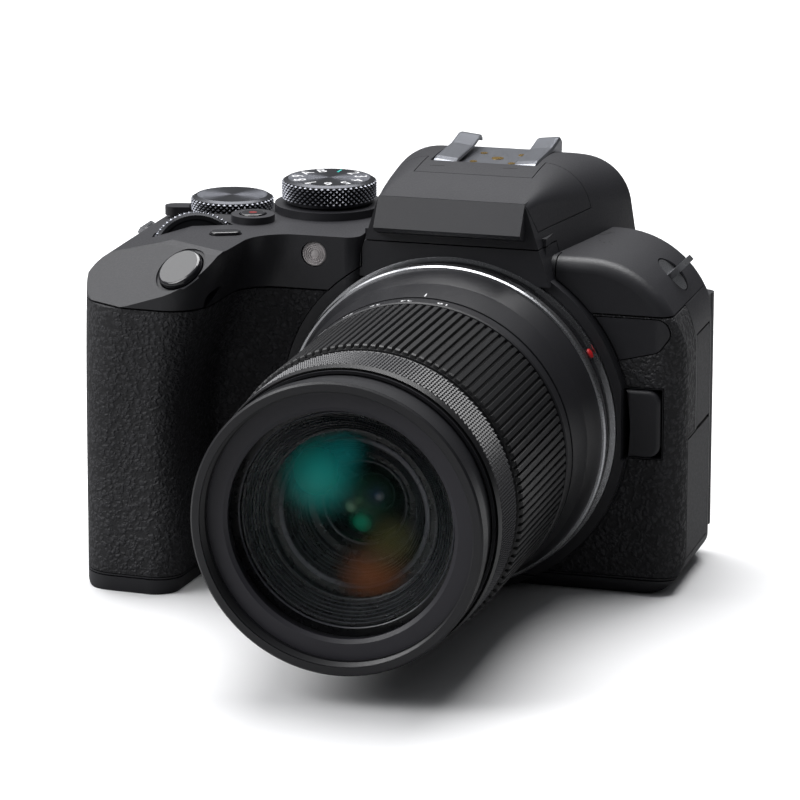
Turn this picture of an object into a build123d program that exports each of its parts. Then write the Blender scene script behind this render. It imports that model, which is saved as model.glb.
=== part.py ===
"""An interchangeable-lens camera with a zoom lens, as an assembly of separate pieces.

Frame: millimetres, +Z up, origin at the mouth of the tripod socket in the base plane, right under the lens
axis. The lens looks along -Y. Seen from the front, +X is to the right and the hand grip is on the left.
"""
from build123d import *
from math import cos, pi, radians, sin
import os

# ---------------------------------------------------------------- driving dimensions: camera body
BODY_LEFT = -74.3        # grip side
BODY_RIGHT = 48.2        # terminal side
BODY_FRONT = -16.0       # front face beside the lens mount
BODY_BACK = 18.5         # back face, around the screen
RIGHT_TOP = 71.3         # height of the right shoulder
DECK_TOP = 74.4          # height of the dial deck
SHOULDER_R = 21.0        # right shoulder
DECK_R = 8.0
DECK_EDGE, DECK_EDGE_Z = -56.0, 69.4  # where the deck starts to slope, and its height at the left            # left edge of the deck
WALL = 2.2               # moulded cover wall
SEAM = 0.28              # visible gap between covers
BASE_SPLIT = 3.6         # height of the base cover's seam
DECK_SPLIT = 62.8        # underside of the deck part of the top cover
TOP_SPLIT = 60.2         # underside of the top cover elsewhere
FRONT_SPLIT = -3.0       # plane that parts front and back covers
TOWER_HALF = 19.4        # half width of the tower over the lens mount
TOWER_TOP = 75.4
TOWER_SPLIT = 73.8       # seam between the tower's face and the name face over it
TOWER_FRONT = -17.4

# grip, as plan sections: height, left side, nose, inner side, front face, and the radii of the outer front corner,
# the inner front corner and the valley beside the bulge
GRIP_SECTIONS = (
    (0.0, -74.6, -43.4, -53.4, -17.4, 6.5, 5.0, 4.5),
    (26.0, -74.5, -44.2, -52.6, -18.0, 7.5, 5.0, 4.5),
    (48.0, -74.3, -46.2, -50.4, -19.4, 10.0, 5.6, 5.5),
    (63.0, -74.0, -49.3, -44.8, -21.8, 14.0, 8.5, 8.0),
    (78.0, -73.6, -49.3, -41.4, -22.8, 15.0, 10.5, 9.0),
)
RUBBER = 1.0             # thickness of the stuck-on rubber skins
SKIN_GAP = 0.2           # gap round the skins, the badge and the flash cover
RUBBER_TOP = 62.4        # upper edge of the grip rubber

# sloping facet that carries the shutter button
FACET = Plane(origin=(-51.0, -44.0, 70.5), x_dir=(1, 0, 0.4), z_dir=(-0.40, -0.70, 1.0))
FACET_BEVEL = Plane(origin=(-51.0, -38.4, DECK_TOP - 0.35), x_dir=(1, 0, 0.17), z_dir=(-0.165, -0.29, 0.943))

# viewfinder hump: depth, roof height, roof half width, foot half width, roof corner radius
HUMP_SECTIONS = (
    (-20.6, 83.2, 15.6, 21.0, 2.0),
    (-4.0, 85.0, 18.2, 23.4, 6.0),
    (8.0, 86.0, 20.0, 26.0, 10.5),
    (19.0, 85.8, 22.4, 27.4, 12.5),
    (28.4, 84.0, 25.2, 28.0, 11.0),
)
HUMP_FOOT = 66.0
LEDGE_Y, LEDGE_Z = -24.6, 77.3   # lower front edge of the name face
CREASE_Y, CREASE_Z = -20.6, 83.2  # upper edge of the name face
LEDGE_HALF = 15.6
BACK_HUMP = 28.4

# lens mount and lens
LENS_Z = 36.0            # lens axis height
FLANGE_Y = -20.0         # the lens seats here
BOSS_R = 37.2            # moulded surround of the mount
BOSS_FRONT = -19.0
THROAT_R = 27.0          # clear radius of the mount
MOUNT_R = 35.1           # outer radius of the metal mount ring
LENS_BASE_R = 34.5       # widest part of the lens
BASE_RING = (-20.05, -24.0)
TRIM_RING = (-24.0, -26.4)
FLARE_REAR_R, FLARE_FRONT_R = 33.8, 31.4
FLARE_END = -41.4        # end of the flare, start of the zoom ring
ZOOM = (-41.7, -81.2)
ZOOM_R = 30.6
CONTROL = (-81.6, -94.5)
CONTROL_R = 30.2
SLEEVE_R = 29.25         # fixed sleeve under both rings
TUBE_GAP = 0.25          # running clearance between nested tubes
TUBE_WALL = 0.9
LENS_FRONT = -104.5      # front end of the lens when drawn in
RIM_R = 29.3             # filter rim
FILTER_R = 27.5          # filter thread
RIM_REAR = -100.8
NAME_OUTER, NAME_INNER = 26.8, 22.8

# controls on top
MODE_DIAL = (-33.0, 2.0)
MODE_R, MODE_BASE, MODE_TOP = 10.2, 76.5, 81.5
COLLAR_R, COLLAR_TOP = 11.6, 76.1
QUICK_DIAL = (-55.0, 3.0)
QUICK_R, QUICK_BASE, QUICK_TOP = 9.0, 72.5, 76.3
LEVER_R, LEVER_BASE, LEVER_TOP = 9.5, 71.7, 72.25
STEP_X, STEP_Y, STEP_Z = -43.2, -8.4, 71.4  # sunken corner of the deck under the quick dial
MOVIE_BUTTON = (-45.4, -12.6)
MOVIE_R, MOVIE_BOSS_R, MOVIE_BOSS_TOP = 2.7, 4.6, 75.9
SHUTTER_R = 4.9
MFN_BUTTON = (-47.0, -26.4)
MAIN_DIAL = (-55.4, -20.6, 67.2)
MAIN_DIAL_R, MAIN_DIAL_W, MAIN_DIAL_YAW, MAIN_DIAL_LEAN = 10.0, 4.6, 23.0, 20.0

# back
SCREEN_X = (-30.5, 41.7)
SCREEN_Z = (6.4, 57.6)
SCREEN_FRONT = 16.6      # bottom of the recess the screen folds into
SCREEN_BACK = 22.6
SCREEN_R = 3.0
HINGE_X, HINGE_Y = 44.7, 19.6  # upright hinge of the screen arm
EYECUP_BACK = 34.0
EYE_Z = 73.6
EYE_W, EYE_H, EYE_R = 22.0, 12.6, 3.5  # opening of the eyecup, filled by the eyepiece lens
CLEAR = 0.25             # clearance round buttons and doors
DIOPTER = (28.6, 15.5, 76.0)
KEYS_X, KEYS_Z = -52.5, 24.0
KEYS_R = 9.2
JOYSTICK = (-48.0, 51.0)

# doors
DOOR_T = 1.7
BATTERY_DOOR_X = (-71.2, -55.6)
BATTERY_DOOR_Y = (-38.4, -2.0)
UPPER_DOOR = (-1.4, 10.6, 33.2, 53.2)   # y low, y high, z low, z high
LOWER_DOOR = (-9.6, 10.6, 7.0, 32.8)
SIDE_DOOR_T = 1.5

os.makedirs("parts", exist_ok=True)


def lens_plane(y):
    """Plane square to the lens axis at depth y, with its origin on the axis and its normal towards -Y."""
    return Plane(origin=(0, y, LENS_Z), x_dir=(1, 0, 0), z_dir=(0, -1, 0))


def save(builder, name):
    """Labels a finished piece and writes it as its own STEP file."""
    builder.part.label = name
    export_step(builder.part, f"parts/{name}.step")


def block(x, y, z):
    """A box between the given (low, high) limits on each axis."""
    size = (x[1] - x[0], y[1] - y[0], z[1] - z[0])
    return Pos((x[0] + x[1]) / 2, (y[0] + y[1]) / 2, (z[0] + z[1]) / 2) * Box(*size, mode=Mode.PRIVATE)


def rod(y_rear, y_front, radius, inner=0.0):
    """A disc or ring round the lens axis from y_rear forward to y_front."""
    with BuildPart() as ring:
        with BuildSketch(lens_plane(y_rear)):
            Circle(radius)
            if inner:
                Circle(inner, mode=Mode.SUBTRACT)
        extrude(amount=y_rear - y_front)
    return ring.part


def turned(*points):
    """A ring turned from a closed outline of (radius, y) points round the lens axis."""
    with BuildPart() as ring:
        with BuildSketch(Plane(origin=(0, 0, LENS_Z))):
            with BuildLine():
                Polyline(*points, close=True)
            make_face()
        revolve(axis=Axis((0, 0, LENS_Z), (0, 1, 0)))
    return ring.part


def post(x, y, low, high, radius, inner=0.0):
    """An upright disc or ring."""
    with BuildPart() as disc:
        with BuildSketch(Plane.XY.offset(low)):
            with Locations((x, y)):
                Circle(radius)
                if inner:
                    Circle(inner, mode=Mode.SUBTRACT)
        extrude(amount=high - low)
    return disc.part


def back_rod(x, z, y_front, y_back, radius):
    """A disc that looks backwards, between two depths."""
    return Pos(x, (y_front + y_back) / 2, z) * Rot(90, 0, 0) * Cylinder(radius, y_back - y_front, mode=Mode.PRIVATE)


# ---------------------------------------------------------------- outer form of the body, at any inset
def slab_form(inset):
    """The straight part of the body."""
    with BuildPart() as slab:
        with BuildSketch(Plane.XZ.offset(-BODY_BACK + inset)) as outline:
            with BuildLine():
                Polyline((BODY_LEFT + inset, inset), (BODY_RIGHT - inset, inset),
                         (BODY_RIGHT - inset, RIGHT_TOP - inset), (0, RIGHT_TOP - inset), (0, DECK_TOP - inset),
                         (DECK_EDGE, DECK_TOP - inset), (BODY_LEFT + inset, DECK_EDGE_Z - inset), close=True)
            make_face()
            fillet(outline.vertices().sort_by_distance((BODY_RIGHT, RIGHT_TOP)).first, SHOULDER_R - inset)
            fillet(outline.vertices().sort_by_distance((BODY_LEFT, DECK_EDGE_Z)).first, DECK_R - inset)
            fillet(outline.vertices().sort_by_distance((BODY_RIGHT, 0)).first, 8.0 - inset)
        extrude(amount=BODY_BACK - BODY_FRONT - 2 * inset)
        fillet(slab.faces().sort_by(Axis.Y).first.edges(), 2.8 - inset)
        fillet(slab.faces().sort_by(Axis.Y).last.edges(), 3.2 - inset)
        with BuildSketch() as plan:
            with BuildLine():
                Polyline((BODY_LEFT + inset, BODY_FRONT + inset), (BODY_RIGHT - inset, BODY_FRONT + inset),
                         (BODY_RIGHT - inset, BODY_BACK - inset), (BODY_LEFT + inset, BODY_BACK - inset), close=True)
            make_face()
            fillet(plan.vertices().sort_by_distance((BODY_RIGHT, BODY_FRONT)).first, 6.0 - inset)
            fillet(plan.vertices().sort_by_distance((BODY_RIGHT, BODY_BACK)).first, 7.5 - inset)
            fillet(plan.vertices().sort_by_distance((BODY_LEFT, BODY_BACK)).first, 7.5 - inset)
        extrude(amount=90, mode=Mode.INTERSECT)
    return slab.part


def grip_form(inset):
    """The hand grip with the bulge beside it, cut to the deck height with a rounded outer edge."""
    with BuildPart() as grip:
        for height, left, nose, inner, face, nose_r, inner_r, valley_r in GRIP_SECTIONS:
            with BuildSketch(Plane.XY.offset(max(height, inset))) as section:
                with BuildLine():
                    Polyline((left + inset, 8), (left + inset, nose + 1.4 + inset), (inner - 1.0 - inset, nose + inset),
                             (inner + 0.6 - inset, face + inset), (-TOWER_HALF, face + inset),
                             (-TOWER_HALF, 8), close=True)
                make_face()
                fillet(section.vertices().sort_by_distance((left, nose)).first, nose_r - inset)
                fillet(section.vertices().sort_by_distance((inner, nose)).first, inner_r - inset)
                fillet(section.vertices().sort_by_distance((inner, face)).first, valley_r + inset)
                fillet(section.vertices().sort_by_distance((-TOWER_HALF, face)).first, 3.0)
        loft()
        with BuildSketch(Plane.XZ.offset(-10)) as outline:
            with BuildLine():
                Polyline((BODY_LEFT - 0.3 + inset, inset), (0, inset), (0, DECK_TOP - inset),
                         (DECK_EDGE, DECK_TOP - inset), (BODY_LEFT - 0.3 + inset, DECK_EDGE_Z - inset), close=True)
            make_face()
            fillet(outline.vertices().sort_by_distance((BODY_LEFT, DECK_EDGE_Z)).first, DECK_R - inset)
            fillet(outline.vertices().sort_by_distance((BODY_LEFT, 0)).first, 3.0 - inset)
        extrude(amount=70, mode=Mode.INTERSECT)
        split(bisect_by=FACET.offset(-inset), keep=Keep.BOTTOM)
        split(bisect_by=FACET_BEVEL.offset(-inset), keep=Keep.BOTTOM)
    return grip.part


def hump_form(inset):
    """The viewfinder hump with the overhanging name face and the tower below it."""
    with BuildPart() as hump:
        first, last = HUMP_SECTIONS[0][0], HUMP_SECTIONS[-1][0]
        for depth, roof, half, foot, radius in HUMP_SECTIONS:
            y = min(max(depth, first + inset), last - inset)
            with BuildSketch(Plane.XZ.offset(-y)) as section:
                with BuildLine():
                    Polyline((-foot + inset, HUMP_FOOT), (foot - inset, HUMP_FOOT), (half - inset, roof - inset),
                             (-half + inset, roof - inset), close=True)
                make_face()
                fillet(section.vertices().sort_by(Axis.Y)[-2:], max(radius - inset, 0.6))
        loft()
    with BuildPart() as tower:
        if inset == 0:
            with BuildSketch(Plane.YZ.offset(-LEDGE_HALF)):
                with BuildLine():
                    Polyline((CREASE_Y, CREASE_Z), (LEDGE_Y, LEDGE_Z), (LEDGE_Y + 0.5, LEDGE_Z - 0.9),
                             (TOWER_FRONT, TOWER_TOP - 1), (-10, TOWER_TOP - 1), (-10, CREASE_Z), close=True)
                make_face()
            extrude(amount=2 * LEDGE_HALF)
        with BuildSketch(Plane.XZ.offset(-TOWER_FRONT - inset)):
            with BuildLine():
                Polyline((-TOWER_HALF - 3.4 + inset, 50), (-TOWER_HALF + inset, 66),
                         (-TOWER_HALF + inset, TOWER_TOP - inset), (TOWER_HALF - inset, TOWER_TOP - inset),
                         (TOWER_HALF - inset, 66), (TOWER_HALF + 3.4 - inset, 50), close=True)
            make_face()
        extrude(amount=-12)
    return hump.part.fuse(tower.part)


def body_form(inset):
    """The whole outer form of the camera body, moved inwards by the inset."""
    with BuildPart() as form:
        add(slab_form(inset))
        add(grip_form(inset))
        add(hump_form(inset))
        with BuildSketch(lens_plane(-8)):
            Circle(BOSS_R - inset)
        extrude(amount=-BOSS_FRONT - 8 - inset)
        add(block((-90, 60), (-70, 40), (-20, inset)), mode=Mode.SUBTRACT)
        add(block((-90, STEP_X + inset * 0.5), (STEP_Y - inset, 40), (STEP_Z - inset, 99)), mode=Mode.SUBTRACT)
    return form.part


outer = body_form(0.0)
under_rubber = body_form(RUBBER)
inner = body_form(WALL)
shell = outer - inner
skin = outer - under_rubber


# ---------------------------------------------------------------- hollows shared by several covers
FAR = 120.0
mount_hole = rod(10, -30, MOUNT_R + 0.05)
screen_bay = block((SCREEN_X[0] - 0.4, 60), (SCREEN_FRONT, FAR), (SCREEN_Z[0] - 0.4, SCREEN_Z[1] + 0.4))
battery_way = block((BATTERY_DOOR_X[0] - 0.2, BATTERY_DOOR_X[1] + 0.2),
                    (BATTERY_DOOR_Y[0] - 0.2, BATTERY_DOOR_Y[1] + 0.2), (-1, 8))


def side_bay(door, depth, gap):
    """The recess behind a door in the right side of the body."""
    return block((BODY_RIGHT - depth, 60), (door[0] - gap, door[1] + gap), (door[2] - gap, door[3] + gap))


SOCKETS = ((4.6, 46.6, 7.6, 7.6), (4.6, 38.0, 4.0, 5.4), (4.6, 24.0, 4.0, 10.4), (4.6, 12.6, 7.0, 7.0))
socket_holes = [block((36, 60), (y - w / 2, y + w / 2), (z - h / 2, z + h / 2)) for y, z, w, h in SOCKETS]
FLASH_AXIS = (8.0, 86.3)   # depth and height of the flash cover's hinge


def flash_zone(gap):
    """Space of the flash cover: the front of the roof and its two side wings."""
    with BuildPart() as zone:
        with BuildSketch(Plane.YZ.offset(-26)):
            with BuildLine():
                Polyline((CREASE_Y + 0.2 - gap, 95), (CREASE_Y + 0.2 - gap, CREASE_Z - 0.2),
                         (CREASE_Y + 2.6 - gap, 77.0 - gap), (FLASH_AXIS[0] + gap, 77.0 - gap),
                         (FLASH_AXIS[0] + gap, 95), close=True)
            make_face()
        extrude(amount=52)
    return zone.part - block((-12.9 + gap, 12.9 - gap), (-3.6 + gap, 40), (60, 99))


wheel = Plane(origin=MAIN_DIAL, x_dir=(cos(radians(MAIN_DIAL_YAW)), sin(radians(MAIN_DIAL_YAW)), 0),
              z_dir=(sin(radians(MAIN_DIAL_YAW)) * cos(radians(MAIN_DIAL_LEAN)),
                     -cos(radians(MAIN_DIAL_YAW)) * cos(radians(MAIN_DIAL_LEAN)), sin(radians(MAIN_DIAL_LEAN))))


def wheel_disc(radius, width):
    """A disc on the main dial's axis."""
    return wheel.location * Cylinder(radius, width, mode=Mode.PRIVATE)


def facet_disc(radius, low, high):
    """A disc square to the sloping facet, between two heights over it."""
    return FACET.location * Pos(0, 0, (low + high) / 2) * Cylinder(radius, high - low, mode=Mode.PRIVATE)


def lozenge(length, width, low, high, at, turn):
    """An upright block with rounded ends."""
    with BuildPart() as body:
        with BuildSketch(Plane.XY.offset(low)):
            with Locations(Location((at[0], at[1], 0), (0, 0, turn))):
                SlotOverall(length, width)
        extrude(amount=high - low)
    return body.part


BACK_KEYS = {             # centre in x and z, radius
    "menu_button": (34.5, 64.4, 2.6), "info_button": (-37.8, 57.4, 2.6), "play_button": (-43.0, 9.6, 2.8),
    "af_on_button": (-58.6, 56.6, 3.2)}
key_holes = [back_rod(x, z, BODY_BACK - 6, BODY_BACK + 12, r + CLEAR) for x, z, r in BACK_KEYS.values()]
key_bay = back_rod(KEYS_X, KEYS_Z, BODY_BACK - 1.4, BODY_BACK + 5, KEYS_R + 0.7)
key_bore = back_rod(KEYS_X, KEYS_Z, BODY_BACK - 8, BODY_BACK + 5, 6.4)
stick_hole = back_rod(*JOYSTICK, BODY_BACK - 8, BODY_BACK + 5, 4.4)
LUGS = ((42.2, 3.0, 65.4, 45.0), (-72.9, 6.0, 65.4, -59.0))


def lug_disc(x, y, z, lean, radius, low, high):
    """A disc on a strap lug's seat, square to the sloping shoulder."""
    return Pos(x, y, z) * Rot(0, lean, 0) * Pos(0, 0, (low + high) / 2) * Cylinder(radius, high - low,
                                                                                  mode=Mode.PRIVATE)


release_well = block((MOUNT_R + 0.9, 44.0), (-30, -11.0), (29.9, 44.7))
lamp_hole = Pos(-29.0, -20, 70.4) * Rot(90, 0, 0) * Cylinder(2.75, 12, mode=Mode.PRIVATE)


# ---------------------------------------------------------------- covers
def top_region(grow):
    """Everything over the seam of the top cover, with the tower's face left to the front cover."""
    whole = block((-90, 60), (-70, 60), (TOP_SPLIT - grow, 110))
    deck = block((-90, -TOWER_HALF - grow), (-71, 61), (0, DECK_SPLIT - grow))
    tower = block((-TOWER_HALF - 3, TOWER_HALF + 1.8 - grow), (-71, -10.6 - grow), (0, TOWER_SPLIT - grow))
    step = block((-TOWER_HALF - 3, -TOWER_HALF + grow), (-71, -10.6 - grow), (DECK_SPLIT - grow, 90))
    return whole - deck - (tower - step) - rod(-8, -40, BOSS_R + 0.3 - grow)


def rubber_region(grow):
    """Space of the grip's rubber skin."""
    return block((-90, -23.4 + grow), (-70, FRONT_SPLIT - 0.3 + grow), (BASE_SPLIT + 0.5 - grow, RUBBER_TOP + grow)
                 ) - rod(0, -40, BOSS_R + 0.35 - grow)


def leather_region(grow):
    """Space of the rubber skin on the front right."""
    patch = block((20.4 - grow, 60), (-40, FRONT_SPLIT - 0.3 + grow), (BASE_SPLIT + 0.5 - grow, TOP_SPLIT - 0.4 + grow))
    door = block((45.0, 60), (LOWER_DOOR[0] - 0.5 + grow, 20), (0, LOWER_DOOR[3] + 0.7 - grow))
    button = block((20, 44.3 - grow), (-40, 0), (29.6 + grow, 45.0 - grow))
    return patch - rod(0, -40, BOSS_R + 0.35 - grow) - door - button


def badge_region(grow):
    """Space of the name badge beside the mount."""
    with BuildPart() as badge:
        with BuildSketch(Plane.XZ.offset(10)) as outline:
            with BuildLine():
                Polyline((27.0, 59.4), (44.4, 59.4), (45.4, 56.0), (43.0, 52.6), (31.0, 49.6), close=True)
            make_face()
            fillet(outline.vertices().sort_by_distance((44.4, 59.4)).first, 2.6)
            fillet(outline.vertices().sort_by_distance((43.0, 52.6)).first, 3.0)
            fillet(outline.vertices().sort_by_distance((45.4, 56.0)).first, 2.0)
            if grow:
                offset(amount=grow)
        extrude(amount=12)
    return badge.part - rod(0, -40, BOSS_R + 0.6 - grow)


top_space = top_region(0.0)
low_space = top_region(SEAM)
seam_rubber = (rubber_region(SKIN_GAP) + leather_region(SKIN_GAP)) & skin
with BuildPart() as top_cover:
    add(shell & top_space)
    add(block((-27, 27), (-19.5, 8.6), (74.5, 75.7)) & outer)
    add(block((-12.4, 12.4), (3.6, 27.4), (81.0, 84.0)) & outer)
    add(post(*MODE_DIAL, 73.0, COLLAR_TOP, COLLAR_R))
    add(post(*MOVIE_BUTTON, 72.4, MOVIE_BOSS_TOP, MOVIE_BOSS_R))
    add(post(*QUICK_DIAL, STEP_Z - 1.0, LEVER_BASE, LEVER_R - 0.2))
    add(facet_disc(SHUTTER_R + 2.0, -2.8, -0.4) & outer)
    add(flash_zone(SKIN_GAP), mode=Mode.SUBTRACT)
    add(facet_disc(SHUTTER_R + 0.9, -0.5, 2), mode=Mode.SUBTRACT)
    add(facet_disc(SHUTTER_R + CLEAR, -8, 2), mode=Mode.SUBTRACT)
    add(wheel_disc(MAIN_DIAL_R + 0.35, MAIN_DIAL_W + 0.7), mode=Mode.SUBTRACT)
    add(lozenge(6.4 + 0.5, 3.4 + 0.5, 70, 80, MFN_BUTTON, MAIN_DIAL_YAW), mode=Mode.SUBTRACT)
    add(post(*MOVIE_BUTTON, 68, 80, MOVIE_R + CLEAR), mode=Mode.SUBTRACT)
    for centre in (MODE_DIAL, QUICK_DIAL):
        add(post(*centre, 60, 90, 2.05), mode=Mode.SUBTRACT)
    add(lamp_hole, mode=Mode.SUBTRACT)
    add(block((-11.6, 11.6), (5.0, 40), (83.2, 99)), mode=Mode.SUBTRACT)
    add(block((-13.5, 13.5), (24.5, 40), (EYE_Z - 6.8, EYE_Z + 6.8)), mode=Mode.SUBTRACT)
    add(back_rod(34.5, 64.4, BODY_BACK - 6, BODY_BACK + 12, 2.6 + CLEAR), mode=Mode.SUBTRACT)
    for x, y, z, lean in LUGS:
        add(lug_disc(x, y, z, lean, 4.4, -1.4, 6.0), mode=Mode.SUBTRACT)
save(top_cover, "top_cover")
print("top", len(top_cover.part.solids()), [round(v.volume) for v in top_cover.part.solids()], top_cover.part.is_valid)

with BuildPart() as front_cover:
    add((shell & block((-90, 60), (-70, FRONT_SPLIT - SEAM), (BASE_SPLIT, 110))) - low_space)
    add(seam_rubber, mode=Mode.SUBTRACT)
    add(mount_hole, mode=Mode.SUBTRACT)
    add(release_well, mode=Mode.SUBTRACT)
    add(badge_region(SKIN_GAP) & (outer - under_rubber), mode=Mode.SUBTRACT)
    add(side_bay(LOWER_DOOR, SIDE_DOOR_T + 0.1, CLEAR), mode=Mode.SUBTRACT)
    add(wheel_disc(MAIN_DIAL_R + 0.35, MAIN_DIAL_W + 0.7), mode=Mode.SUBTRACT)
save(front_cover, "front_cover")
print("front", [round(v.volume) for v in front_cover.part.solids()], front_cover.part.is_valid)
with BuildPart() as rear_cover:
    add((shell & block((-90, 60), (FRONT_SPLIT, 60), (BASE_SPLIT, 110))) - low_space)
    add(block((SCREEN_X[0] - 2.4, 46), (14.6, 16.4), (SCREEN_Z[0] - 2.2, SCREEN_Z[1] + 1.2)) & outer)
    add(block((43.0, 46.6), (FRONT_SPLIT, 11.6), (LOWER_DOOR[2] - 2, UPPER_DOOR[3] + 2)) & outer)
    add(back_rod(KEYS_X, KEYS_Z, BODY_BACK - 3.4, BODY_BACK - 1.6, KEYS_R + 2))
    add(screen_bay, mode=Mode.SUBTRACT)
    for low, high in ((SCREEN_Z[0], 14.6), (49.4, SCREEN_Z[1])):
        add(Pos(HINGE_X, HINGE_Y, (low + high) / 2) * Cylinder(2.3, high - low, mode=Mode.PRIVATE))
        add(block((44.0, 46.6), (15.5, HINGE_Y), (low, high)))
    add(Pos(HINGE_X, HINGE_Y, 32) * Cylinder(0.9, 60, mode=Mode.PRIVATE), mode=Mode.SUBTRACT)
    for hole in key_holes + socket_holes + [key_bay, key_bore, stick_hole]:
        add(hole, mode=Mode.SUBTRACT)
    for door in (UPPER_DOOR, LOWER_DOOR):
        add(side_bay(door, SIDE_DOOR_T + 0.1, CLEAR), mode=Mode.SUBTRACT)
    add(skin & block((-80, -62.6), (1.4, 30), (8, 38.4)), mode=Mode.SUBTRACT)
    add(lug_disc(*LUGS[1], 4.4, -1.4, 6.0), mode=Mode.SUBTRACT)
save(rear_cover, "rear_cover")
print("rear", [round(v.volume) for v in rear_cover.part.solids()], rear_cover.part.is_valid)

SCREWS = ((-44.0, 10.0), (36.0, 8.0), (-40.0, -9.0), (33.0, -8.0))
with BuildPart() as bottom_cover:
    add(shell & block((-90, 60), (-70, 60), (-1, BASE_SPLIT - SEAM)))
    add(battery_way, mode=Mode.SUBTRACT)
    add(mount_hole, mode=Mode.SUBTRACT)
    add(post(0, 0, -1, 6, 5.5), mode=Mode.SUBTRACT)
    for x, y in SCREWS:
        add(post(x, y, -1, 1.2, 1.7), mode=Mode.SUBTRACT)
        add(post(x, y, -1, 6, 0.8), mode=Mode.SUBTRACT)
save(bottom_cover, "bottom_cover")
print("bottom", [round(v.volume) for v in bottom_cover.part.solids()], bottom_cover.part.is_valid)

with BuildPart() as grip_rubber:
    add(skin & rubber_region(0.0))
save(grip_rubber, "grip_rubber")
with BuildPart() as side_leatherette:
    add(skin & leather_region(0.0))
    add(badge_region(SKIN_GAP + 0.05), mode=Mode.SUBTRACT)
save(side_leatherette, "side_leatherette")
with BuildPart() as thumb_rest:
    add(skin & block((-80, -62.7), (1.5, 30), (8.1, 38.3)))
save(thumb_rest, "thumb_rest")
with BuildPart() as badge_plate:
    add((outer - under_rubber) & badge_region(0.0))
save(badge_plate, "badge_plate")

with BuildPart() as case_screws:
    for x, y in SCREWS:
        add(post(x, y, 0.2, 1.2, 1.6))
        add(post(x, y, 1.1, 5.4, 0.8))
        add(Pos(x, y, 0.35) * Box(1.9, 0.4, 0.5, mode=Mode.PRIVATE), mode=Mode.SUBTRACT)
        add(Pos(x, y, 0.35) * Box(0.4, 1.9, 0.5, mode=Mode.PRIVATE), mode=Mode.SUBTRACT)
save(case_screws, "case_screws")

# ---------------------------------------------------------------- inside the body
with BuildPart() as chassis:
    add(block((-37, 35.6), (-13.2, -11.6), (5.2, 58)))
    add(rod(-11.6, -17.5, 34.4))
    add(block((-37, 35.6), (-11.6, 9.0), (2.4, 3.6)))
    add(block((-37, -35.8), (-11.6, 9.0), (3.0, 40)))
    add(rod(0, -30, THROAT_R), mode=Mode.SUBTRACT)
    add(block((-24, 24), (-9.8, 1), (18, 54)), mode=Mode.SUBTRACT)
    add(post(0, 0, 0, 9, 7.6), mode=Mode.SUBTRACT)
    add(outer - inner, mode=Mode.SUBTRACT)
    for x, y in SCREWS:
        add(post(x, y, 0, 8, 0.85), mode=Mode.SUBTRACT)
save(chassis, "chassis")
with BuildPart() as tripod_socket:
    add(post(0, 0, 0, 9.0, 5.5, 3.0))
    add(post(0, 0, 2.2, 3.4, 7.5, 3.0))
    add(post(0, 0, 8.0, 10.0, 5.5))
save(tripod_socket, "tripod_socket")
with BuildPart() as shutter_unit:
    add(block((-23, 23), (-9.6, -3.0), (18.4, 53.6)))
    add(block((-13.4, 13.4), (-20, 20), (LENS_Z - 9.4, LENS_Z + 9.4)), mode=Mode.SUBTRACT)
    add(block((-20, 20), (-6.2, -5.6), (LENS_Z - 14, LENS_Z + 14)), mode=Mode.SUBTRACT)
save(shutter_unit, "shutter_unit")
with BuildPart() as image_sensor:
    add(block((-16, 16), (0.0, 2.2), (LENS_Z - 12.5, LENS_Z + 12.5)))
    add(block((-12.6, 12.6), (-2.9, 0.0), (LENS_Z - 8.6, LENS_Z + 8.6)))
save(image_sensor, "image_sensor")
with BuildPart() as main_board:
    add(block((-34, 42), (10.6, 12.0), (7, 58)))
    for x, z, w, h in ((-10, 30, 15, 15), (14, 40, 12, 10), (12, 20, 9, 9), (-24, 50, 7, 5)):
        add(block((x - w / 2, x + w / 2), (9.2, 10.6), (z - h / 2, z + h / 2)))
save(main_board, "main_board")
with BuildPart() as evf_module:
    add(block((-10.5, 10.5), (9, 24.2), (67.5, 80.2)))
    add(block((-8, 8), (24.2, 26.0), (EYE_Z - 5.5, EYE_Z + 5.5)))
save(evf_module, "evf_module")
with BuildPart() as eyecup:
    with BuildSketch(Plane.XZ.offset(-BACK_HUMP)):
        with Locations((0, EYE_Z)):
            RectangleRounded(35, 19.0, 5.5)
            RectangleRounded(EYE_W, EYE_H, EYE_R, mode=Mode.SUBTRACT)
    extrude(amount=-(EYECUP_BACK - BACK_HUMP))
    fillet(eyecup.faces().sort_by(Axis.Y).last.edges(), 1.4)
    add(block((-13.3, 13.3), (BACK_HUMP - 2.2, BACK_HUMP), (EYE_Z - 6.6, EYE_Z + 6.6)))
    add(block((-EYE_W / 2, EYE_W / 2), (20, BACK_HUMP), (EYE_Z - EYE_H / 2, EYE_Z + EYE_H / 2)), mode=Mode.SUBTRACT)
save(eyecup, "eyecup")
with BuildPart() as eyepiece_lens:
    with BuildSketch(Plane.XZ.offset(-BACK_HUMP)):
        with Locations((0, EYE_Z)):
            RectangleRounded(EYE_W - 0.1, EYE_H - 0.1, EYE_R)
    extrude(amount=-2.0)
save(eyepiece_lens, "eyepiece_lens")
with BuildPart() as battery:
    add(block((-69.4, -57.0), (-36.0, -3.4), (4.2, 53)))
    fillet(battery.edges().filter_by(Axis.Z), 2.0)
save(battery, "battery")
with BuildPart() as terminal_block:
    add(block((37.4, 42.6), (-2.0, 9.6), (8.5, 51.5)))
    for y, z, w, h in SOCKETS:
        add(block((42.6, 46.2), (y - w / 2 + 0.05, y + w / 2 - 0.05), (z - h / 2 + 0.05, z + h / 2 - 0.05)))
        add(block((40.0, 60), (y - w / 2 + 0.6, y + w / 2 - 0.6), (z - h / 2 + 0.6, z + h / 2 - 0.6)), mode=Mode.SUBTRACT)
save(terminal_block, "terminal_block")

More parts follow.
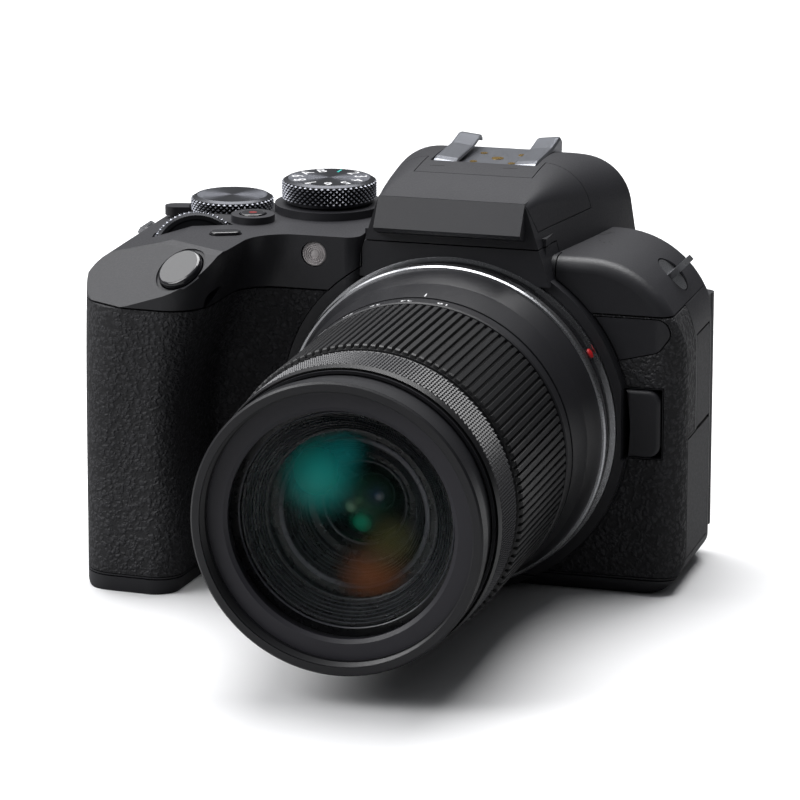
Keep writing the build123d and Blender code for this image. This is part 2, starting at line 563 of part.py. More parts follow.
# ---------------------------------------------------------------- fittings on the outside
with BuildPart() as hot_shoe:
    shoe_x, shoe_y = (-11.4, 11.4), (5.3, 28.2)
    add(block(shoe_x, shoe_y, (83.25, 87.8)))
    add(block((-9.35, 9.35), (7.0, 40), (84.25, 86.4)), mode=Mode.SUBTRACT)
    add(block((-6.3, 6.3), (0, 40), (86.0, 90)), mode=Mode.SUBTRACT)
    add(block((-6.3, 6.3), (0, 9), (85.2, 90)), mode=Mode.SUBTRACT)
save(hot_shoe, "hot_shoe")
with BuildPart() as hot_shoe_contacts:
    for x, y, r in ((0, 17.0, 1.3), (-4.2, 21.5, 0.8), (4.2, 21.5, 0.8), (-4.2, 12.6, 0.8), (4.2, 12.6, 0.8)):
        add(post(x, y, 84.25, 84.5, r))
save(hot_shoe_contacts, "hot_shoe_contacts")
with BuildPart() as af_lamp_lens:
    add(Pos(-29.0, -21.1, 70.4) * Rot(90, 0, 0) * Cylinder(2.7, 2.8, mode=Mode.PRIVATE))
    fillet(af_lamp_lens.faces().sort_by(Axis.Y).first.edges(), 0.6)
save(af_lamp_lens, "af_lamp_lens")
with BuildPart() as strap_lugs:
    for x, y, z, lean in LUGS:
        out = Pos(x, y, z) * Rot(0, lean, 0)
        add(out * Pos(0, 0, -1.1) * Cylinder(4.1, 0.6, mode=Mode.PRIVATE))
        loop = Box(1.3, 7.4, 4.6, mode=Mode.PRIVATE) - Pos(0, 0, 0.5) * Box(3, 5.0, 2.4, mode=Mode.PRIVATE)
        add(out * Pos(0, 0, 1.4) * loop)
save(strap_lugs, "strap_lugs")

# ---------------------------------------------------------------- mount and lens
with BuildPart() as body_mount_ring:
    add(turned((THROAT_R, -17.5), (MOUNT_R, -17.5), (MOUNT_R, FLANGE_Y), (THROAT_R, FLANGE_Y)))
    add(block((-60, 60), (-30, 0), (-10, 0.4)), mode=Mode.SUBTRACT)
save(body_mount_ring, "body_mount_ring")
with BuildPart() as lens_mount_bayonet:
    add(turned((24.0, FLANGE_Y), (24.0, -15.6), (26.6, -15.6), (26.6, FLANGE_Y)))
    add(turned((26.5, -17.2), (26.5, -15.6), (26.9, -15.6), (26.9, -17.2)))
save(lens_mount_bayonet, "lens_mount_bayonet")
with BuildPart() as lens_base_ring:
    add(turned((24.0, FLANGE_Y), (LENS_BASE_R, FLANGE_Y), (LENS_BASE_R, TRIM_RING[0]), (23.9, TRIM_RING[0]),
               (23.9, -32.0), (17.0, -32.0), (17.0, -23.0), (24.0, -22.0)))
save(lens_base_ring, "lens_base_ring")
with BuildPart() as lens_trim_ring:
    add(turned((30.0, TRIM_RING[0]), (LENS_BASE_R - 0.2, TRIM_RING[0]), (LENS_BASE_R, TRIM_RING[0] - 0.3),
               (LENS_BASE_R, TRIM_RING[1] + 0.4), (LENS_BASE_R - 0.3, TRIM_RING[1]), (30.0, TRIM_RING[1])))
save(lens_trim_ring, "lens_trim_ring")
SLEEVE_IN = SLEEVE_R - 0.6
with BuildPart() as lens_outer_barrel:
    add(turned((24.0, TRIM_RING[0]), (30.0, TRIM_RING[0]), (30.0, TRIM_RING[1]), (FLARE_REAR_R, TRIM_RING[1]),
               (32.3, -33.0), (FLARE_FRONT_R, FLARE_END), (SLEEVE_R, FLARE_END), (SLEEVE_R, -95.2), (SLEEVE_IN, -95.2),
               (SLEEVE_IN, -40.0), (24.0, -38.0)))
save(lens_outer_barrel, "lens_outer_barrel")
RING_IN = SLEEVE_R + 0.08
with BuildPart() as zoom_ring:
    add(turned((RING_IN, ZOOM[0]), (31.3, ZOOM[0]), (31.2, -44.4), (ZOOM_R, -44.8), (ZOOM_R, ZOOM[1] + 0.3),
               (ZOOM_R - 0.3, ZOOM[1]), (RING_IN, ZOOM[1])))
save(zoom_ring, "zoom_ring")
with BuildPart() as control_ring:
    add(turned((RING_IN, CONTROL[0]), (CONTROL_R - 0.3, CONTROL[0]), (CONTROL_R, CONTROL[0] - 0.3),
               (CONTROL_R, CONTROL[1] + 1.6), (CONTROL_R - 0.6, CONTROL[1]), (RING_IN, CONTROL[1])))
save(control_ring, "control_ring")
TUBE_1 = SLEEVE_IN - TUBE_GAP
TUBE_2 = TUBE_1 - TUBE_WALL - TUBE_GAP
with BuildPart() as rear_tube:
    add(turned((TUBE_1 - TUBE_WALL, -52), (TUBE_1, -52), (TUBE_1, RIM_REAR + 0.3), (TUBE_1 - TUBE_WALL, RIM_REAR + 0.3)))
save(rear_tube, "rear_tube")
with BuildPart() as front_tube:
    add(turned((TUBE_2 - TUBE_WALL, -58), (TUBE_2, -58), (TUBE_2, RIM_REAR), (RIM_R, RIM_REAR), (RIM_R, LENS_FRONT + 0.4),
               (RIM_R - 0.4, LENS_FRONT), (FILTER_R, LENS_FRONT), (FILTER_R, -101.9), (NAME_OUTER, -101.9),
               (NAME_OUTER, -100.2), (23.4, -100.2), (23.4, -97.4), (NAME_OUTER - 0.9, -97.4),
               (NAME_OUTER - 0.9, -90), (TUBE_2 - TUBE_WALL, -90)))
save(front_tube, "front_tube")
with BuildPart() as name_ring:
    add(turned((NAME_INNER, -100.2), (NAME_OUTER, -100.2), (NAME_OUTER, -101.5), (NAME_INNER + 0.8, -101.5),
               (NAME_INNER, -101.0)))
save(name_ring, "name_ring")
GLASS_R = 23.3
with BuildPart() as front_element:
    add(rod(-96.0, -103.0, GLASS_R))
    sag = 2.4
    curve = (GLASS_R ** 2 + sag ** 2) / (2 * sag)
    add(Pos(0, -101.0 + curve, LENS_Z) * Sphere(curve, mode=Mode.PRIVATE), mode=Mode.INTERSECT)
save(front_element, "front_element")
with BuildPart() as rear_element:
    add(rod(-24.4, -30.0, 16.95))
save(rear_element, "rear_element")

# ---------------------------------------------------------------- controls on top
def dial(centre, radius, base, top, spindle_low):
    """A round dial with a bevelled top on its own spindle."""
    with BuildPart() as knob:
        add(post(*centre, base, top, radius))
        chamfer(knob.faces().sort_by(Axis.Z).last.edges(), 0.6)
        add(post(*centre, spindle_low, base, 2.0))
    return knob.part


with BuildPart() as mode_dial:
    add(dial(MODE_DIAL, MODE_R, MODE_BASE, MODE_TOP, 71.4))
save(mode_dial, "mode_dial")
with BuildPart() as quick_dial:
    add(dial(QUICK_DIAL, QUICK_R, QUICK_BASE, QUICK_TOP, 68.4))
save(quick_dial, "quick_dial")
with BuildPart() as power_lever:
    add(post(*QUICK_DIAL, LEVER_BASE + 0.1, LEVER_TOP, LEVER_R))
    add(lozenge(7.6, 4.4, LEVER_BASE + 0.1, LEVER_TOP + 1.5, (QUICK_DIAL[0] - 10.4, QUICK_DIAL[1] - 2.4), 14))
    add(post(*QUICK_DIAL, 70, QUICK_BASE + 10, 2.4), mode=Mode.SUBTRACT)
    add(post(*QUICK_DIAL, QUICK_BASE - 0.25, QUICK_BASE + 10, QUICK_R + 0.25), mode=Mode.SUBTRACT)
save(power_lever, "power_lever")
with BuildPart() as main_dial:
    add(wheel_disc(MAIN_DIAL_R, MAIN_DIAL_W))
    chamfer(main_dial.edges().filter_by(GeomType.CIRCLE), 0.4)
save(main_dial, "main_dial")
with BuildPart() as shutter_button:
    add(facet_disc(SHUTTER_R, -3.0, 0.9))
    fillet(shutter_button.faces().sort_by(Axis(FACET.origin, FACET.z_dir)).last.edges(), 0.7)
save(shutter_button, "shutter_button")
with BuildPart() as mfn_button:
    add(lozenge(6.4, 3.4, 72.0, DECK_TOP + 0.7, MFN_BUTTON, MAIN_DIAL_YAW))
    fillet(mfn_button.faces().sort_by(Axis.Z).last.edges(), 0.4)
save(mfn_button, "mfn_button")
with BuildPart() as movie_button:
    add(post(*MOVIE_BUTTON, 72.6, MOVIE_BOSS_TOP + 0.3, MOVIE_R))
    fillet(movie_button.faces().sort_by(Axis.Z).last.edges(), 0.4)
save(movie_button, "movie_button")

# ---------------------------------------------------------------- flash head
with BuildPart() as flash_cover:
    add(shell & flash_zone(0.0))
save(flash_cover, "flash_cover")
with BuildPart() as flash_head:
    add(block((-13.2, 13.2), (-15.6, -5.0), (77.6, 84)) & inner)
save(flash_head, "flash_head")
with BuildPart() as flash_window:
    add(block((-12.6, 12.6), (-16.6, -15.6), (77.9, 81.4)) & inner)
save(flash_window, "flash_window")

# ---------------------------------------------------------------- release button and doors
with BuildPart() as release_button:
    with BuildSketch(Plane.XZ.offset(11.6)) as outline:
        with BuildLine():
            Polyline((MOUNT_R + 1.4, 30.2), (43.7, 30.2), (43.7, 44.4), (MOUNT_R + 1.4, 44.4), close=True)
        make_face()
        fillet(outline.vertices().group_by(Axis.X)[-1], 2.6)
    extrude(amount=5.4)
    fillet(release_button.faces().sort_by(Axis.Y).first.edges(), 0.8)
    add(rod(0, -40, BOSS_R + 0.3), mode=Mode.SUBTRACT)
save(release_button, "release_button")
with BuildPart() as battery_door:
    add(block(BATTERY_DOOR_X, BATTERY_DOOR_Y, (0, DOOR_T)))
    add(outer - Pos(0, 0, 100) * Box(400, 400, 100, mode=Mode.PRIVATE), mode=Mode.INTERSECT)
save(battery_door, "battery_door")
for name, door in (("terminal_door_upper", UPPER_DOOR), ("terminal_door_lower", LOWER_DOOR)):
    with BuildPart() as panel:
        add(outer & block((BODY_RIGHT - SIDE_DOOR_T, 60), (door[0], door[1]), (door[2] + (0 if door is LOWER_DOOR else 0.2),
                                                                        door[3] - 0.2)))
    save(panel, name)

# ---------------------------------------------------------------- screen and back controls
with BuildPart() as lcd_frame:
    with BuildSketch(Plane.XZ.offset(-(SCREEN_FRONT + 0.2))):
        with Locations(((SCREEN_X[0] + SCREEN_X[1]) / 2, (SCREEN_Z[0] + SCREEN_Z[1]) / 2)):
            RectangleRounded(SCREEN_X[1] - SCREEN_X[0], SCREEN_Z[1] - SCREEN_Z[0], SCREEN_R)
    extrude(amount=-(SCREEN_BACK - SCREEN_FRONT - 0.2))
    fillet(lcd_frame.faces().sort_by(Axis.Y).last.edges(), 0.8)
    add(block((SCREEN_X[0] + 3.0, SCREEN_X[1] - 3.4), (SCREEN_BACK - 1.1, 40), (SCREEN_Z[0] + 3, SCREEN_Z[1] - 3)),
        mode=Mode.SUBTRACT)
save(lcd_frame, "lcd_frame")
with BuildPart() as lcd_glass:
    add(block((SCREEN_X[0] + 3.0, SCREEN_X[1] - 3.4), (SCREEN_BACK - 1.1, SCREEN_BACK - 0.1),
              (SCREEN_Z[0] + 3, SCREEN_Z[1] - 3)))
save(lcd_glass, "lcd_glass")
with BuildPart() as lcd_arm:
    add(Pos(HINGE_X, HINGE_Y, 32) * Cylinder(2.3, 34.4, mode=Mode.PRIVATE))
    add(block((SCREEN_X[1] - 0.0, HINGE_X), (HINGE_Y - 1.8, HINGE_Y + 1.8), (14.8, 49.2)))
    add(Pos(HINGE_X, HINGE_Y, 32) * Cylinder(0.95, 60, mode=Mode.PRIVATE), mode=Mode.SUBTRACT)
save(lcd_arm, "lcd_arm")
with BuildPart() as lcd_hinge_pin:
    add(Pos(HINGE_X, HINGE_Y, 32) * Cylinder(0.9, 50.8, mode=Mode.PRIVATE))
save(lcd_hinge_pin, "lcd_hinge_pin")
for name, (x, z, r) in BACK_KEYS.items():
    with BuildPart() as key:
        add(back_rod(x, z, BODY_BACK - 2.6, BODY_BACK + 0.9, r))
        fillet(key.faces().sort_by(Axis.Y).last.edges(), 0.4)
    save(key, name)
with BuildPart() as cross_keys:
    add(back_rod(KEYS_X, KEYS_Z, BODY_BACK - 0.6, BODY_BACK + 1.3, KEYS_R))
    chamfer(cross_keys.faces().sort_by(Axis.Y).last.edges(), 0.6)
    add(back_rod(KEYS_X, KEYS_Z, BODY_BACK - 5, BODY_BACK + 5, 3.9), mode=Mode.SUBTRACT)
save(cross_keys, "cross_keys")
with BuildPart() as set_button:
    add(back_rod(KEYS_X, KEYS_Z, BODY_BACK - 2.2, BODY_BACK + 1.2, 3.5))
    fillet(set_button.faces().sort_by(Axis.Y).last.edges(), 0.4)
save(set_button, "set_button")
with BuildPart() as joystick:
    add(back_rod(*JOYSTICK, BODY_BACK - 1.8, BODY_BACK + 1.0, 1.6))
    add(back_rod(*JOYSTICK, BODY_BACK + 1.0, BODY_BACK + 2.4, 3.4))
    fillet(joystick.faces().sort_by(Axis.Y).last.edges(), 0.6)
save(joystick, "joystick")
print("all written", len(os.listdir("parts")))
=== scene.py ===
"""Looks of an interchangeable-lens camera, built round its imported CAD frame.

Lengths in this file are millimetres unless a comment says otherwise; MM turns them into metres. The frame
stands with its base at z = 0, the lens looks along -Y, and the hand grip is at -X.
"""

import math

import bmesh
import bpy
from bpy.props import FloatProperty, FloatVectorProperty, PointerProperty
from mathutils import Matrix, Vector
from mathutils.bvhtree import BVHTree


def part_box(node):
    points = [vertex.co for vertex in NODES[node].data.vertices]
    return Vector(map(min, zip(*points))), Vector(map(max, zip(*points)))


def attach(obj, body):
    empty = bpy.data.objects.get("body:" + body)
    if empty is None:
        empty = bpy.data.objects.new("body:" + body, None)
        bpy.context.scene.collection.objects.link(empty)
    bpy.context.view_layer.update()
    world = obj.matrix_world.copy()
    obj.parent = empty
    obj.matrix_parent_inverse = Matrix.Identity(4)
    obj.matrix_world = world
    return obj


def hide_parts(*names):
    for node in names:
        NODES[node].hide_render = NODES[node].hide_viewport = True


bl_info = {
    "name": "Zoom Lens Camera Looks",
    "version": (1, 0, 0),
    "blender": (4, 5, 0),
    "location": "View3D > Sidebar > Camera Looks",
    "description": "Builds the finishes and fine pieces of an interchangeable-lens camera",
    "category": "Object",
}

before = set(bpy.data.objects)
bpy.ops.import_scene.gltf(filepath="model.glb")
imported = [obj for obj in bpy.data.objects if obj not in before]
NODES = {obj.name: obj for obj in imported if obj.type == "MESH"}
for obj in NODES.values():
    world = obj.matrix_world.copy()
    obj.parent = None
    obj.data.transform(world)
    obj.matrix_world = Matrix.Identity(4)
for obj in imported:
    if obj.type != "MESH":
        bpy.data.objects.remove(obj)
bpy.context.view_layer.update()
MM = 0.001
LENS_Z = 36.0                      # height of the lens axis
RING_BORE = 29.4                   # inner radius of the turning lens rings
MODE_DIAL, QUICK_DIAL = (-33.0, 2.0), (-55.0, 3.0)
MOVIE_BUTTON, MOVIE_TOP = (-45.4, -12.6), 76.18
WHEEL_CENTRE, WHEEL_YAW, WHEEL_LEAN, WHEEL_R = (-55.4, -20.6, 67.2), 23.0, 20.0, 9.95
THREAD_Y, THREAD_PITCH, THREAD_TEETH = -104.1, 0.5, 5
INDEX_DEG, INDEX_Y = 29.6, -22.0   # red dot on the base ring
RIB_FOOT, RIB_TOP, RIB_FRONT, RIB_REAR = 30.15, 30.95, -80.9, -45.2
KNURL_R, KNURL_FRONT, KNURL_REAR = 30.15, -92.4, -82.2
BAND_R, BAND_Y = 31.16, -43.25     # surface and middle of the band of focal lengths
TICK_FRONT, TICK_REAR = -40.9, -39.4  # fixed line that the figures are read against
FOCAL_MARKS = (("18", 81.3), ("24", 95.6), ("35", 107.9), ("50", 119.5), ("70", 132.0), ("100", 146.0),
               ("150", 161.0))     # figure and its angle in degrees
MODE_WORDS = ("1", "2", "3", "4", "5", "6", "7", "8", "9", "A", "B")
FRONT_REFLECTION_Y, REAR_REFLECTION_Y = -93.0, -81.0  # depths of the two glasses that carry the painted reflections
# painted reflections of the lights, fixed on the inner glasses as coloured glows
FRONT_PAINTED_REFLECTIONS = ((-7.2, 8.2, 13.5, "#1fc4b8", 0.80), (-2.0, 13.0, 8.0, "#12a5a5", 0.60),
              (4.4, -13.0, 11.5, "#c2713e", 0.55), (8.0, -5.0, 9.0, "#6b6a24", 0.50))
REAR_PAINTED_REFLECTIONS = ((0.0, 0.0, 9.5, "#2f8a58", 0.65), (-3.6, -1.8, 2.6, "#c8ffd0", 1.0),
              (-2.0, -0.4, 1.8, "#b8f5c0", 0.9), (-1.4, -5.0, 4.4, "#27e0aa", 1.0),
              (1.6, 1.0, 3.6, "#123f78", 0.9), (2.2, 0.6, 1.6, "#ffffff", 1.0))
# radius, depth and width of each pale ring on the baffles, a painted highlight along the edges of the baffle
# steps
BAFFLE_HIGHLIGHT_RINGS = {"baffle_lip_1": (21.5, -97.35, 0.32), "baffle_lip_2": (16.95, -93.4, 0.42),
                "baffle_lip_3": (14.4, -91.7, 0.9), "baffle_lip_4": (11.2, -86.9, 0.34),
                "baffle_lip_5": (8.3, -84.1, 1.0), "baffle_lip_6": (4.0, -77.9, 0.3),
                **{f"baffle_edge_{k}": (20.7 - k * 0.62, -97.0 + k * 0.5, 0.12) for k in range(6)},
                **{f"baffle_rim_{k}": (13.6 - k * 0.55, -91.0 + k * 0.6, 0.12) for k in range(4)}}
# speaker holes and the two short slots before the shoe, drawn as near-black patches of painted shade: x, y,
# length, width
TOP_OPENINGS = ((25.2, 8.2, 1.5, 0.4), (25.9, 9.4, 1.5, 0.4), (26.6, 10.6, 1.5, 0.4), (26.2, 1.9, 0.5, 0.5),
                (27.4, 0.6, 0.5, 0.5), (29.2, -0.1, 0.5, 0.5), (28.3, 1.6, 0.5, 0.5), (-9.0, 1.2, 3.2, 0.28),
                (6.6, 2.2, 3.2, 0.28))
OPENING_LEAN = (1, 0.12, 0)
# hot shoe: depth and height of the rails' tops, then half of their section, where a height of 0 or less
# is measured down from the top
SHOE_TOPS = ((5.3, 85.5), (6.3, 86.0), (8.0, 86.35), (20.0, 86.75), (23.5, 87.3), (26.0, 87.75), (27.4, 87.7),
             (28.2, 87.0))
SHOE_HALF = ((11.3, 83.2), (11.4, -0.6), (11.05, -0.1), (10.6, 0.0), (6.6, -0.45), (6.3, -0.6), (6.3, -1.2),
             (6.6, -1.3), (9.4, -1.1), (9.7, -1.2), (9.7, 84.4))
# name, place, width and height in metres, watts
SOFTBOXES = (("softbox_overhead", (-60, 300, 1150), 1.1, 0.9, 22.0),
             ("softbox_key", (-760, -560, 760), 0.7, 0.7, 8.0),
             ("softbox_left", (-820, 320, 860), 0.6, 0.6, 2.6))
LIGHT_AIM = (-10, -30, 40)
VIEW_PLACE, VIEW_ALONG, VIEW_LENS = (243.7, -915.1, 284.7), (-0.2648, 0.9301, -0.2546), 207.3
FLOOR_HALF = 6.0                   # metres


# ----------------------------------------------------------------------------------- colours and nodes
def linear(code):
    """An sRGB hex value as a linear colour with full opacity."""
    parts = [int(code[k:k + 2], 16) / 255 for k in (1, 3, 5)]
    return tuple(p / 12.92 if p <= 0.04045 else ((p + 0.055) / 1.055) ** 2.4 for p in parts) + (1.0,)


def add_node(tree, kind, settings=None, links=None):
    """Adds a node. Settings are properties or unlinked sockets; links give the outputs that feed sockets."""
    node = tree.nodes.new(kind)
    for key, value in (settings or {}).items():
        if isinstance(key, str) and hasattr(node, key):
            setattr(node, key, value)
        else:
            node.inputs[key].default_value = value
    for key, output in (links or {}).items():
        tree.links.new(output, node.inputs[key])
    return node


def blank_material(name):
    """A new material, its tree, and the object's own coordinates in metres."""
    material = bpy.data.materials.new(name)
    material.use_nodes = True
    tree = material.node_tree
    tree.nodes.clear()
    return material, tree, add_node(tree, "ShaderNodeTexCoord").outputs["Object"]


def finish_material(tree, shader):
    """Sends the shader to the surface."""
    add_node(tree, "ShaderNodeOutputMaterial", links={"Surface": shader.outputs[0]})


def paint(code):
    """An sRGB hex value as three linear numbers."""
    return linear(code)[:3]


def looks():
    return bpy.context.scene.camera_looks


def tint(colour):
    return tuple(colour) + (1.0,)


def moulded(name, colour, grain_mm=0.42, bump=0.30, roughness=0.46, patches=0.22, coat=0.0):
    """Moulded plastic off a spark-eroded tool: a fine pebble, and faint patches over centimetres."""
    material, tree, where = blank_material(name)
    grain = add_node(tree, "ShaderNodeTexNoise", {"Scale": 1000 / grain_mm, "Detail": 2.0, "Roughness": 0.6},
                     {"Vector": where})
    broad = add_node(tree, "ShaderNodeTexNoise", {"Scale": 1000 / 24.0, "Detail": 3.0}, {"Vector": where})
    shade = add_node(tree, "ShaderNodeMix", {"data_type": "RGBA", 6: tint(c * (1 - patches) for c in colour),
            7: tint(c * (1 + patches) for c in colour)}, {0: broad.outputs["Fac"]})
    gloss = add_node(tree, "ShaderNodeMapRange",
            {"From Min": 0.3, "From Max": 0.7, "To Min": roughness - 0.05, "To Max": roughness + 0.07},
            {"Value": grain.outputs["Fac"]})
    relief = add_node(tree, "ShaderNodeBump", {"Strength": bump, "Distance": 0.00006},
            {"Height": grain.outputs["Fac"]})
    shader = add_node(tree, "ShaderNodeBsdfPrincipled",
            {"IOR": 1.5, "Coat Weight": coat, "Coat Roughness": 0.25},
            {"Base Color": shade.outputs[2], "Roughness": gloss.outputs[0], "Normal": relief.outputs[0]})
    finish_material(tree, shader)
    return material


def leather_grain(name, colour, cell_mm):
    """Rubber pressed with a leather grain: rounded pebbles between duller creases that carry painted shade.
    """
    material, tree, where = blank_material(name)
    wobble = add_node(tree, "ShaderNodeTexNoise", {"Scale": 1000 / (cell_mm * 1.2), "Detail": 2.0},
            {"Vector": where})
    pulled = add_node(tree, "ShaderNodeMix", {"data_type": "RGBA", "blend_type": "LINEAR_LIGHT",
            0: cell_mm * MM * 0.9}, {6: where, 7: wobble.outputs["Color"]})
    cells = add_node(tree, "ShaderNodeTexVoronoi",
            {"feature": "SMOOTH_F1", "Scale": 1000 / cell_mm, "Smoothness": 0.35, "Randomness": 1.0},
            {"Vector": pulled.outputs[2]})
    pebble = add_node(tree, "ShaderNodeMapRange", {"interpolation_type": "SMOOTHSTEP", "From Min": 0.12,
                                                   "From Max": 0.75, "To Min": 1.0, "To Max": 0.0},
                      {"Value": cells.outputs["Distance"]})
    fine = add_node(tree, "ShaderNodeTexNoise", {"Scale": 1000 / 0.3, "Detail": 1.0}, {"Vector": where})
    height = add_node(tree, "ShaderNodeMix", {"data_type": "FLOAT", 0: 0.12},
                      {2: pebble.outputs[0], 3: fine.outputs["Fac"]})
    relief = add_node(tree, "ShaderNodeBump", {"Strength": 1.0, "Distance": 0.0003},
            {"Height": height.outputs[0]})
    # painted shade: the creases get 0.45 of the rubber's colour
    shade = add_node(tree, "ShaderNodeMix", {"data_type": "RGBA", 6: tint(c * 0.45 for c in colour),
            7: tint(colour)}, {0: pebble.outputs[0]})
    gloss = add_node(tree, "ShaderNodeMapRange", {"To Min": 0.72, "To Max": 0.50},
            {"Value": pebble.outputs[0]})
    shader = add_node(tree, "ShaderNodeBsdfPrincipled", {"IOR": 1.52},
            {"Base Color": shade.outputs[2], "Roughness": gloss.outputs[0], "Normal": relief.outputs[0]})
    finish_material(tree, shader)
    return material


def relief_painted_light(name, painted_shade_colour, painted_highlight_colour, metallic, roughness):
    """A cut or moulded relief: painted shade in the grooves and a painted highlight on the crests."""
    material, tree, where = blank_material(name)
    lift = add_node(tree, "ShaderNodeAttribute", {"attribute_name": "lift"})
    crest = add_node(tree, "ShaderNodeMapRange",
            {"interpolation_type": "SMOOTHSTEP", "From Min": 0.1, "From Max": 0.9},
            {"Value": lift.outputs["Fac"]})
    # painted shade and painted highlight: the lift mixes from the groove colour to the crest colour
    shade = add_node(tree, "ShaderNodeMix", {"data_type": "RGBA", 6: tint(painted_shade_colour), 7: tint(painted_highlight_colour)},
                     {0: crest.outputs[0]})
    grain = add_node(tree, "ShaderNodeTexNoise", {"Scale": 1000 / 0.35, "Detail": 2.0}, {"Vector": where})
    gloss = add_node(tree, "ShaderNodeMapRange", {"To Min": roughness - 0.08, "To Max": roughness + 0.08},
                     {"Value": grain.outputs["Fac"]})
    relief = add_node(tree, "ShaderNodeBump", {"Strength": 0.15, "Distance": 0.00004},
            {"Height": grain.outputs["Fac"]})
    shader = add_node(tree, "ShaderNodeBsdfPrincipled", {"Metallic": metallic, "IOR": 1.5},
            {"Base Color": shade.outputs[2], "Roughness": gloss.outputs[0], "Normal": relief.outputs[0]})
    finish_material(tree, shader)
    return material


def turned_metal(name, colour, centre, groove_mm=0.16, roughness=0.3):
    """Metal faced on a lathe: fine rings round its own centre that draw the light out into a fan."""
    material, tree, where = blank_material(name)
    shifted = add_node(tree, "ShaderNodeVectorMath", {"operation": "SUBTRACT", 1: [c * MM for c in centre]},
            {0: where})
    rings = add_node(tree, "ShaderNodeTexWave", {"wave_type": "RINGS", "rings_direction": "Z",
                                                 "Scale": 1000 / groove_mm / 20, "Distortion": 0.0},
                     {"Vector": shifted.outputs[0]})
    uneven = add_node(tree, "ShaderNodeTexNoise", {"Scale": 1000 / 1.5, "Detail": 3.0}, {"Vector": where})
    gloss = add_node(tree, "ShaderNodeMapRange", {"To Min": roughness - 0.06, "To Max": roughness + 0.08},
                     {"Value": uneven.outputs["Fac"]})
    relief = add_node(tree, "ShaderNodeBump", {"Strength": 0.10, "Distance": 0.00002},
            {"Height": rings.outputs["Fac"]})
    around = add_node(tree, "ShaderNodeTangent", {"direction_type": "RADIAL", "axis": "Z"})
    shader = add_node(tree, "ShaderNodeBsdfPrincipled",
            {"Base Color": tint(colour), "Metallic": 1.0, "Anisotropic": 0.85},
            {"Roughness": gloss.outputs[0], "Normal": relief.outputs[0], "Tangent": around.outputs[0]})
    finish_material(tree, shader)
    return material


def brushed(name, colour, along=(1.0, 1.0, 0.08), roughness=0.3, metallic=1.0):
    """Brushed or bead-blasted metal: short scratches one way, and a satin gloss."""
    material, tree, where = blank_material(name)
    drawn = add_node(tree, "ShaderNodeMapping", {"Scale": [a * 1000 / 0.22 for a in along]},
            {"Vector": where})
    hairs = add_node(tree, "ShaderNodeTexNoise", {"Scale": 1.0, "Detail": 3.0}, {"Vector": drawn.outputs[0]})
    gloss = add_node(tree, "ShaderNodeMapRange", {"To Min": roughness - 0.08, "To Max": roughness + 0.12},
                     {"Value": hairs.outputs["Fac"]})
    relief = add_node(tree, "ShaderNodeBump", {"Strength": 0.12, "Distance": 0.00003},
            {"Height": hairs.outputs["Fac"]})
    shade = add_node(tree, "ShaderNodeMix", {"data_type": "RGBA", 6: tint(c * 0.88 for c in colour),
            7: tint(colour)}, {0: hairs.outputs["Fac"]})
    shader = add_node(tree, "ShaderNodeBsdfPrincipled", {"Metallic": metallic},
            {"Base Color": shade.outputs[2], "Roughness": gloss.outputs[0], "Normal": relief.outputs[0]})
    finish_material(tree, shader)
    return material


def gloss_plastic(name, colour, roughness=0.12):
    """Polished black plastic under a hard coat, with the faintest ripple in its reflections."""
    material, tree, where = blank_material(name)
    ripple = add_node(tree, "ShaderNodeTexNoise", {"Scale": 1000 / 3.0, "Detail": 1.0}, {"Vector": where})
    relief = add_node(tree, "ShaderNodeBump", {"Strength": 0.05, "Distance": 0.0001},
            {"Height": ripple.outputs["Fac"]})
    gloss = add_node(tree, "ShaderNodeMapRange", {"To Min": roughness * 0.8, "To Max": roughness * 1.3},
                     {"Value": ripple.outputs["Fac"]})
    shader = add_node(tree, "ShaderNodeBsdfPrincipled",
            {"Base Color": tint(colour), "IOR": 1.5, "Coat Weight": 0.6, "Coat Roughness": 0.06},
            {"Roughness": gloss.outputs[0], "Normal": relief.outputs[0]})
    finish_material(tree, shader)
    return material


def coated_glass(name, reflection, strength, roughness=0.02):
    """Optical glass under an anti-reflection film: see-through, tinted where it mirrors the light."""
    material, tree, where = blank_material(name)
    film = add_node(tree, "ShaderNodeTexNoise", {"Scale": 1000 / 30.0, "Detail": 1.0}, {"Vector": where})
    shade = add_node(tree, "ShaderNodeMix", {"data_type": "RGBA", 6: tint(c * 0.8 for c in reflection),
                                             7: tint(reflection)}, {0: film.outputs["Fac"]})
    shader = add_node(tree, "ShaderNodeBsdfPrincipled",
            {"Base Color": tint((0.001, 0.0015, 0.0015)), "IOR": 1.52, "Specular IOR Level": 1.0,
            "Alpha": strength, "Roughness": roughness}, {"Specular Tint": shade.outputs[2]})
    finish_material(tree, shader)
    return material


